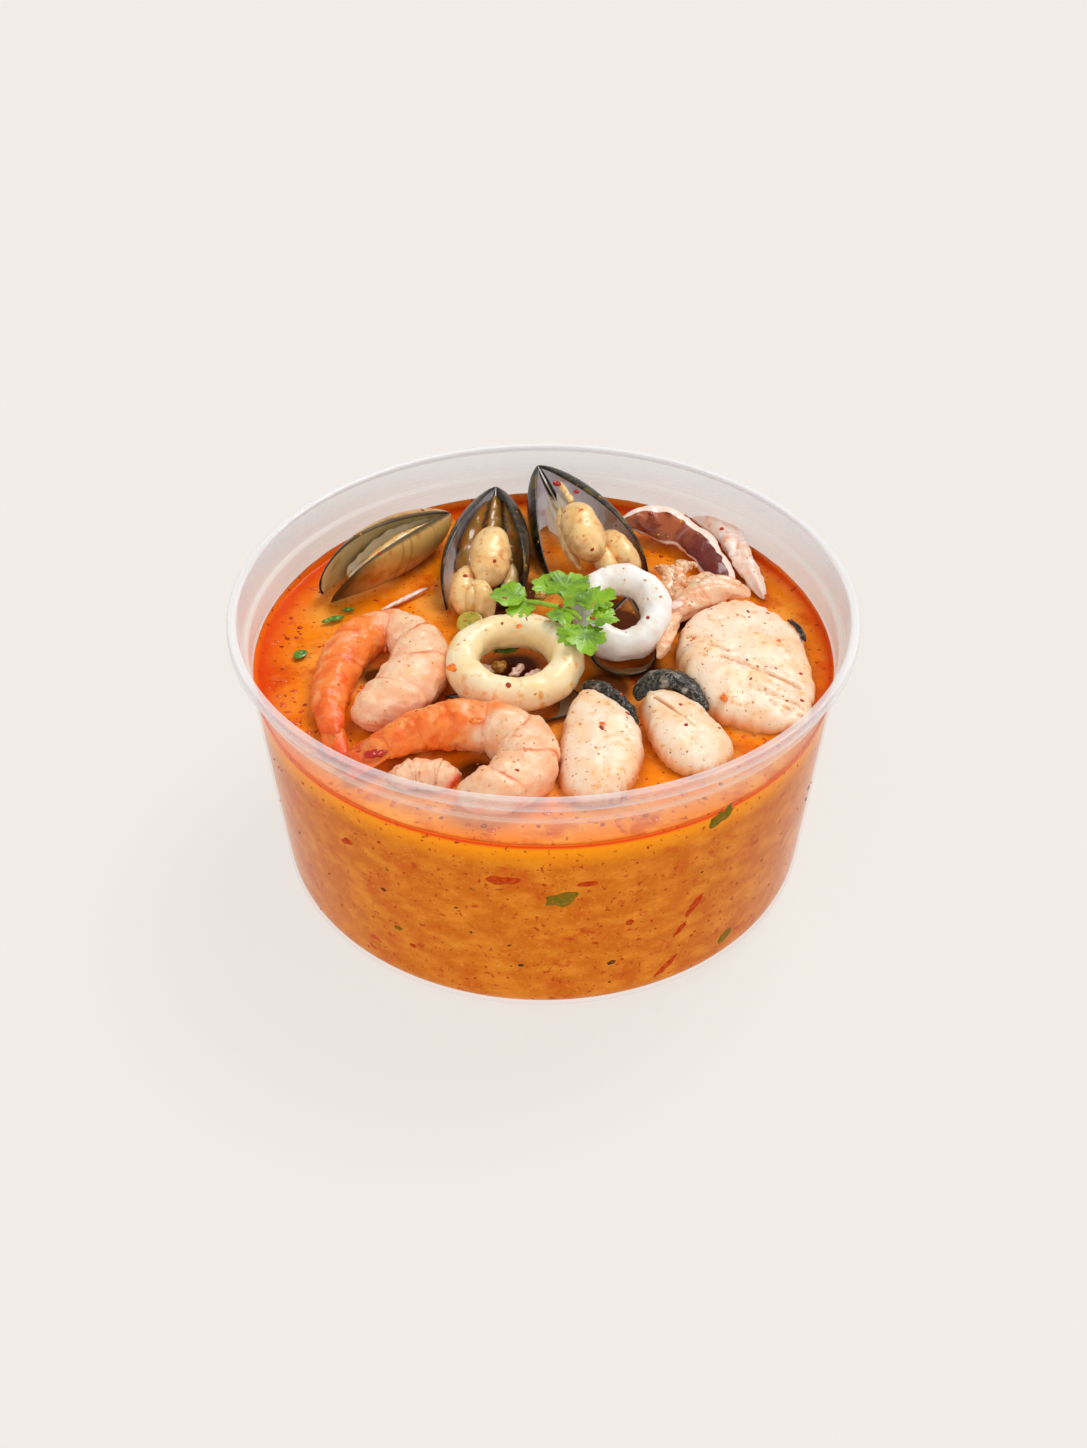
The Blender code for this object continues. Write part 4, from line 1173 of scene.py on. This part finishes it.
def makePrawns():
    finish = cookedPrawn()
    tails = {
        "left": [[(-48.0, -33.0, 1.6, 2.4, 1.2), (-46.6, -38.0, 1.0, 2.2, 0.8),
                  (-44.6, -43.0, 0.4, 1.2, 0.4)],
                 [(-48.6, -33.0, 1.4, 2.2, 1.2), (-48.4, -38.0, 0.9, 1.8, 0.7),
                  (-47.6, -42.0, 0.3, 0.9, 0.4)]],
        "front": [[(-35.0, -41.0, 3.4, 2.6, 1.4), (-40.5, -43.0, 2.6, 2.8, 0.8),
                   (-46.0, -44.2, 1.0, 1.4, 0.4)],
                  [(-35.0, -42.0, 3.0, 2.6, 1.2), (-39.5, -46.0, 2.2, 2.6, 0.7),
                   (-43.5, -50.0, 0.8, 1.3, 0.4)],
                  [(-34.0, -40.0, 3.8, 2.0, 1.4), (-39.0, -41.0, 3.4, 2.0, 0.7),
                   (-43.0, -41.6, 2.4, 0.9, 0.4)]],
        "low": [],
    }
    for name, row in prawns.items():
        rings = prawnRings if name != "low" else (0.35, 0.68)
        bodies = [prawnBody(row, rings)]
        for route in tails[name]:
            fan = sweep(route, 24, 40, 5, up, lambda share, angle: 0.06 * math.sin(9 * angle))
            paint(fan, "crease", lambda vert: max(0.0, 0.6 * noise.noise(vert.co / 1.5)))
            paint(fan, "orange", lambda vert: 1.0)
            along = fan.verts.layers.float["along"]
            paint(fan, "along", lambda vert: 0.80 + 0.2 * vert[along])
            bodies.append(fan)
        addPiece(f"boiled_prawn_{name}", merged(bodies), finish, [f"prawn_{name}"])
    print("prawns made")


# Herbs

corianderStem = [(-6.5, 3.2, 11.6, 0.5, 0.5), (-2.5, 2.4, 12.2, 0.6, 0.6), (1.5, 0.4, 12.7, 0.6, 0.6),
                 (6.0, -3.0, 13.6, 0.6, 0.6), (9.0, -7.6, 14.0, 0.5, 0.5)]

corianderLeaves = [
    # stalk end, heading, lean, size, cup, teeth strength
    ((-2.6, 3.4, 12.4), 168, 2, 11.5, 0.22, 0.35),
    ((-1.6, 3.0, 12.2), 214, -6, 9.0, 0.25, 0.5),
    ((0.5, 2.4, 12.8), 86, 14, 9.5, 0.20, 0.8),
    ((1.5, 1.0, 13.4), 48, 10, 13.5, 0.16, 1.0),
    ((2.0, -0.6, 13.0), -62, 4, 9.0, 0.20, 0.9),
    ((2.2, 0.6, 13.6), 4, 8, 12.5, 0.20, 1.0),
    ((7.4, -3.6, 14.2), 24, 14, 11.5, 0.18, 1.0),
    ((9.4, -5.6, 14.4), -24, 2, 9.5, 0.2, 1.0),
    ((9.2, -7.4, 14.2), -84, -14, 11.5, 0.18, 1.0),
    ((9.0, -8.0, 13.8), -128, -18, 8.5, 0.18, 1.0),
]


def leafBody(size, cup, teeth, seed):
    # a lobed leaflet in the XY plane with its stalk end at the origin, cupped along its midrib
    body = ball(120, 24)
    vein = body.verts.layers.float.new("vein")
    for vert in body.verts:
        reach = math.hypot(vert.co.x, vert.co.y)
        theta = math.atan2(vert.co.y, vert.co.x)
        edge = 0.80 + 0.20 * math.cos(theta)
        for notch, deep, width in ((0.62, 0.30, 0.10), (-0.66, 0.30, 0.10), (1.55, 0.26, 0.12),
                                   (-1.5, 0.26, 0.12)):
            edge -= deep * teeth * bell(theta - notch, width)
        edge += 0.055 * teeth * math.cos(15 * theta + seed) - 0.35 * bell(abs(theta) - math.pi, 0.35)
        radius = reach * size / 2 * (1 - (1 - edge) * reach**1.5)
        x, y = radius * math.cos(theta), radius * math.sin(theta)
        ribs = max(bell(theta - rib, 0.05) for rib in (0.0, 0.42, -0.42, 1.0, -1.0, 1.9, -1.9)) * min(1.0,
            3 * reach)
        vert[vein] = ribs * (1 - 0.5 * reach)
        wave = 0.05 * size * reach**2 * math.sin(3 * theta + seed)
        wave += 0.02 * size * reach**3 * math.sin(8 * theta + seed)
        z = 0.13 * vert.co.z + cup * (y * y) / size * 1.6 - 0.5 * cup * (x * x) / size + wave - 0.10 * ribs
        vert.co = (x + size * 0.42, y, z)
    return body


def corianderLeaf():
    # fresh coriander: thin yellow green leaf that lets light through, paler along the veins
    surface = {"Roughness": 0.42, "Subsurface Weight": 0.15, "Subsurface Scale": 0.001,
               "Coat Weight": 0.15, "Coat Roughness": 0.25}
    surface["Subsurface Radius"] = (0.5, 1.0, 0.2)
    layers = [
        ((5.0,), 0.44, 0.66, "#557F0C", 0.9),
        ((2.0, 3.0, 2.0), 0.58, 0.72, "#33600A", 0.7),
        ("vein", 0.25, 1.0, "#A4C03A", 0.65),
    ]
    return layeredMaterial("fresh coriander leaf", surface, "#8CBC12", layers, ((0.8,), 0.12, 0.6))


def makeHerbs():
    sprig = [sweep(corianderStem, 16, 60, 12)]
    paint(sprig[0], "vein", lambda vert: 0.7)
    for index, (stalk, heading, lean, size, cup, teeth) in enumerate(corianderLeaves):
        turn = math.radians(heading)
        forward = Vector((math.cos(turn), math.sin(turn), math.sin(math.radians(lean))))
        leaf = leafBody(size, cup, teeth, index * 1.3)
        leaf.transform(facing(aboveBroth(*stalk), forward, up.cross(forward)))
        sprig.append(leaf)
    addPiece("coriander_sprig", merged(sprig), corianderLeaf(), ["coriander"])

    surface = {"Roughness": 0.3, "Subsurface Weight": 0.25, "Subsurface Scale": 0.002, "Coat Weight": 0.3,
               "Coat Roughness": 0.1}
    pale = layeredMaterial("pale spring onion", surface, "#C9B23C", [((2.0,), 0.42, 0.62, "#9A9A1C", 0.8)])
    body = bmesh.new()
    bmesh.ops.create_cone(body, cap_ends=True, segments=48, radius1=3.4, radius2=3.4, depth=2.0)
    rims = [edge for edge in body.edges if len(edge.link_faces) == 2 and edge.calc_face_angle() > 1.0]
    bmesh.ops.bevel(body, geom=rims, offset=0.5, affect="EDGES", segments=3, profile=0.5, material=-1)
    caps = [face for face in body.faces if abs(face.normal.z) > 0.9 and len(face.verts) > 20]
    for depth in (-0.35, 0.3, -0.3):
        bmesh.ops.inset_region(body, faces=caps, thickness=0.7, depth=depth, use_even_offset=True)
    placing = Matrix.Translation(aboveBroth(-18.0, 7.5, 2.0)) @ Matrix.Rotation(math.radians(25), 4, "X")
    addPiece("spring_onion_round", body, pale, ["spring_onion_slice"], placing)
    print("herbs made")


# Flakes, specks and oil

flakeKinds = {
    # name: colour, roughness, count, smallest, largest, thickness, how far from the middle, seed
    "chilli_flakes": ("#A82408", 0.25, 110, 0.30, 0.85, 0.30, 66.0, 3),
    "ochre_specks": ("#DE9818", 0.5, 380, 0.20, 0.48, 0.30, 64.0, 5),
    "brown_specks": ("#A8501A", 0.5, 70, 0.14, 0.32, 0.40, 66.0, 8),
    "oil_drops": ("#E2560C", 0.08, 220, 0.30, 1.10, 0.16, 68.4, 11),
}


def flakeMatrix(place, normal, size, thickness, draw):
    turn = Matrix.Rotation(draw.uniform(0, math.tau), 4, "Z")
    lie = normal.to_track_quat("Z", "Y").to_matrix().to_4x4()
    return Matrix.Translation(place) @ lie @ turn @ Matrix.Diagonal((size, size * draw.uniform(0.5, 1.0),
        size * thickness, 1))


def plainFinish(name, code, roughness, gloss=0.5):
    surface = {"Roughness": roughness, "Specular IOR Level": gloss}
    return layeredMaterial(name.replace("_", " "), surface, code, [((0.8,), 0.4, 0.7, "#E8741A", 0.35)])


def makeFlakes():
    for name, (code, roughness, count, least, most, thickness, reach, seed) in flakeKinds.items():
        draw = random.Random(seed)
        body = bmesh.new()
        for _ in range(count):
            radius, turn = reach * math.sqrt(draw.random()), draw.uniform(0, math.tau)
            if name in ("oil_drops", "chilli_flakes") and draw.random() < 0.4:
                radius = reach * draw.uniform(0.90, 1.0)
            start = Vector((radius * math.cos(turn), radius * math.sin(turn), 90))
            hits = [tree.ray_cast(start, -up) for tree in foodTrees]
            hits = [hit for hit in hits if hit[0] is not None]
            place, normal, _, _ = max(hits, key=lambda hit: hit[0].z)
            size = draw.uniform(least, most)
            if normal.z < 0.35 or (name == "oil_drops" and place.z > brothLevel + 1.2):
                continue
            matrix = flakeMatrix(place, normal, size, thickness, draw)
            bmesh.ops.create_icosphere(body, subdivisions=2 if name == "oil_drops" else 1, radius=1.0,
                                       matrix=matrix)
        addPiece(name, body, plainFinish(name, code, roughness), isFood=False)
    print("flakes made")


looseBits = {
    # name: slot, colours, list of (x, y, height above broth, half length, half width, half height, turn)
    "orange_chilli_bits": ("creamy_broth", "#F8820C", "#E45A04",
        [(-20.2, -19.6, 9.2, 2.6, 1.7, 0.5, 30), (-5.8, -6.6, 11.4, 0.9, 0.6, 0.3, 60),
         (35.3, -6.8, 7.6, 0.8, 0.3, 0.2, 40), (56.5, -3.6, 5.2, 0.6, 0.4, 0.2, 10),
         (41.6, -25.4, 4.6, 0.8, 1.2, 0.3, 10), (13.2, -38.6, 7.4, 0.6, 0.5, 0.3, 0),
         (-1.8, -24.0, 8.6, 0.5, 0.3, 0.2, 20), (9.6, 39.5, 15.4, 0.7, 0.3, 0.2, 20),
         (11.0, 36.0, 14.0, 0.6, 0.25, 0.2, 70), (-15.0, -39.4, 8.9, 1.7, 1.1, 0.3, 10),
         (-24.0, -38.5, 8.0, 1.0, 0.5, 0.3, 40)]),
    "dark_red_bits": ("mussel_meat", "#C41C06", "#981004",
        [(-37.4, -45.2, 4.0, 2.6, 1.2, 0.7, 15), (3.4, 55.5, 13.6, 1.0, 0.8, 0.6, 0),
         (8.6, 53.0, 12.6, 0.9, 0.6, 0.5, 40), (32.2, -36.4, 5.2, 0.6, 0.5, 0.3, 0)]),
    "brown_bits": ("mussel_meat", "#C88A30", "#8A5416",
        [(-10.6, -9.4, 1.6, 1.9, 1.7, 1.4, 0), (-0.6, 4.7, 12.6, 1.6, 1.1, 0.8, 30),
         (-9.0, 33.0, 8.0, 1.2, 0.8, 0.6, 20), (-8.6, 29.5, 6.5, 1.0, 0.8, 0.6, 50),
         (-16.9, -4.2, 1.0, 1.8, 1.2, 1.2, 20)]),
    "pale_bits": ("cooked_squid", "#F6DACB", "#E8B49A",
        [(-6.3, -11.2, 1.8, 2.6, 1.1, 1.0, 60), (-2.4, -13.0, 1.8, 2.4, 1.3, 1.0, 40),
         (-13.4, -9.8, 1.0, 2.2, 1.2, 1.0, 150), (32.4, 9.6, 6.4, 2.6, 1.3, 0.6, 30),
         (-35.0, 21.4, 0.2, 7.5, 0.7, 0.5, 42), (24.0, 3.4, 0.4, 2.4, 1.4, 1.0, 20)]),
    "green_bits": ("coriander_leaf", "#5E9418", "#3E6C0C",
        [(-9.1, -2.6, 1.8, 3.2, 1.3, 0.6, 10), (-52.3, 12.8, 0.0, 3.0, 0.9, 0.4, 25),
         (-59.0, -2.0, 0.0, 2.0, 1.5, 0.4, 60), (-49.0, 17.0, 0.0, 1.6, 0.7, 0.4, 10),
         (41.0, 47.0, 0.2, 1.0, 0.6, 0.3, 20)]),
}


def makeLooseBits():
    for name, (slotName, code, shade, rows) in looseBits.items():
        surface = {"Roughness": 0.3, "Coat Weight": 0.2}
        made = layeredMaterial(name.replace("_", " "), surface, code, [((1.2,), 0.42, 0.62, shade, 0.9)])
        bits = []
        for x, y, height, halfLength, halfWidth, halfHeight, turn in rows:
            bit = ball(32, 20)
            size = Matrix.Diagonal((halfLength, halfWidth, halfHeight, 1))
            bit.transform(Matrix.Translation(aboveBroth(x, y, height))
                          @ Matrix.Rotation(math.radians(turn), 4, "Z") @ size)
            roughen(bit, 0.8 * halfWidth + 0.4, 0.45 * halfHeight + 0.08, x)
            bits.append(bit)
        addPiece(name, merged(bits), made, isFood=False)
    print("loose bits made")


wallBits = {
    # name: colour, list of (degrees round the tub, height, half length, half height, tilt)
    "green_bits_at_wall": ("#6A6410",
                           [(-86.6, 39.1, 3.6, 2.3, 15), (-49.4, 9.6, 2.6, 1.5, 40),
                            (-56.0, 54.0, 3.6, 2.0, 30), (-120.0, 20.0, 1.4, 0.8, 10),
                            (40.0, 30.0, 3.0, 1.8, 20), (150.0, 40.0, 2.8, 1.6, -30)]),
    "red_bits_at_wall": ("#B83404",
                         [(-97.4, 44.8, 3.6, 1.5, 5), (-82.0, 43.5, 2.2, 0.9, 0),
                          (-73.3, 28.5, 1.2, 1.1, 0), (-59.4, 27.5, 3.4, 1.1, 55),
                          (-62.0, 21.0, 2.6, 0.9, 50), (-64.3, 9.2, 3.6, 1.0, 45),
                          (-117.0, 15.6, 1.1, 0.8, 0), (-130.0, 42.0, 2.2, 1.0, 20),
                          (70.0, 40.0, 3.0, 1.2, 30), (10.0, 25.0, 2.4, 1.0, 50),
                          (-170.0, 38.0, 2.2, 1.0, 10), (120.0, 22.0, 2.6, 1.0, -20)]),
    "dark_bits_at_wall": ("#3A2A14",
                          [(-122.3, 31.6, 0.9, 0.7, 0), (-76.5, 15.6, 1.3, 0.9, 20),
                           (-94.4, 16.4, 0.9, 0.6, 0), (-104.0, 26.0, 0.5, 0.5, 0),
                           (-20.0, 33.0, 1.1, 0.7, 0), (95.0, 15.0, 1.2, 0.8, 0),
                           (170.0, 22.0, 1.0, 0.7, 0)]),
}


def makeWallBits():
    draw = random.Random(21)
    for name, (code, rows) in wallBits.items():
        body = bmesh.new()
        strays = {"green_bits_at_wall": 8, "red_bits_at_wall": 90, "dark_bits_at_wall": 24}[name]
        small = [(draw.uniform(-180, 180), draw.uniform(4, 55), draw.uniform(0.25, 0.8),
                  draw.uniform(0.2, 0.5), draw.uniform(-90, 90)) for _ in range(strays)]
        for degrees, height, halfLength, halfHeight, tilt in rows + small:
            turn = math.radians(degrees)
            radius = wallRadius(height) - tub["wall"] + 0.12
            outward = Vector((math.cos(turn), math.sin(turn), -0.08)).normalized()
            place = Vector((radius * math.cos(turn), radius * math.sin(turn), height))
            sideways = up.cross(outward).normalized()
            axes = Matrix((sideways, outward.cross(sideways), outward)).transposed().to_4x4()
            lean = Matrix.Rotation(math.radians(tilt), 4, "Z")
            size = Matrix.Diagonal((halfLength, halfHeight, 0.35, 1))
            isLarge = halfLength > 1.5
            matrix = Matrix.Translation(place) @ axes @ lean @ size
            made = bmesh.ops.create_icosphere(body, subdivisions=3 if isLarge else 1, radius=1.0,
                matrix=matrix)
            if isLarge:
                for vert in made["verts"]:
                    along = vert.co - place
                    vert.co = place + along * (1 + 0.35 * noise.noise(vert.co / 1.3))
        addPiece(name, body, plainFinish(name, code, 0.6, 0.05), isFood=False)
    print("bits at the wall made")


makeStudio()
makeMussels()
makeSquid()
makeFish()
makePrawns()
makeHerbs()
makeBroth()
makeFlakes()
makeLooseBits()
makeWallBits()
makeTub()
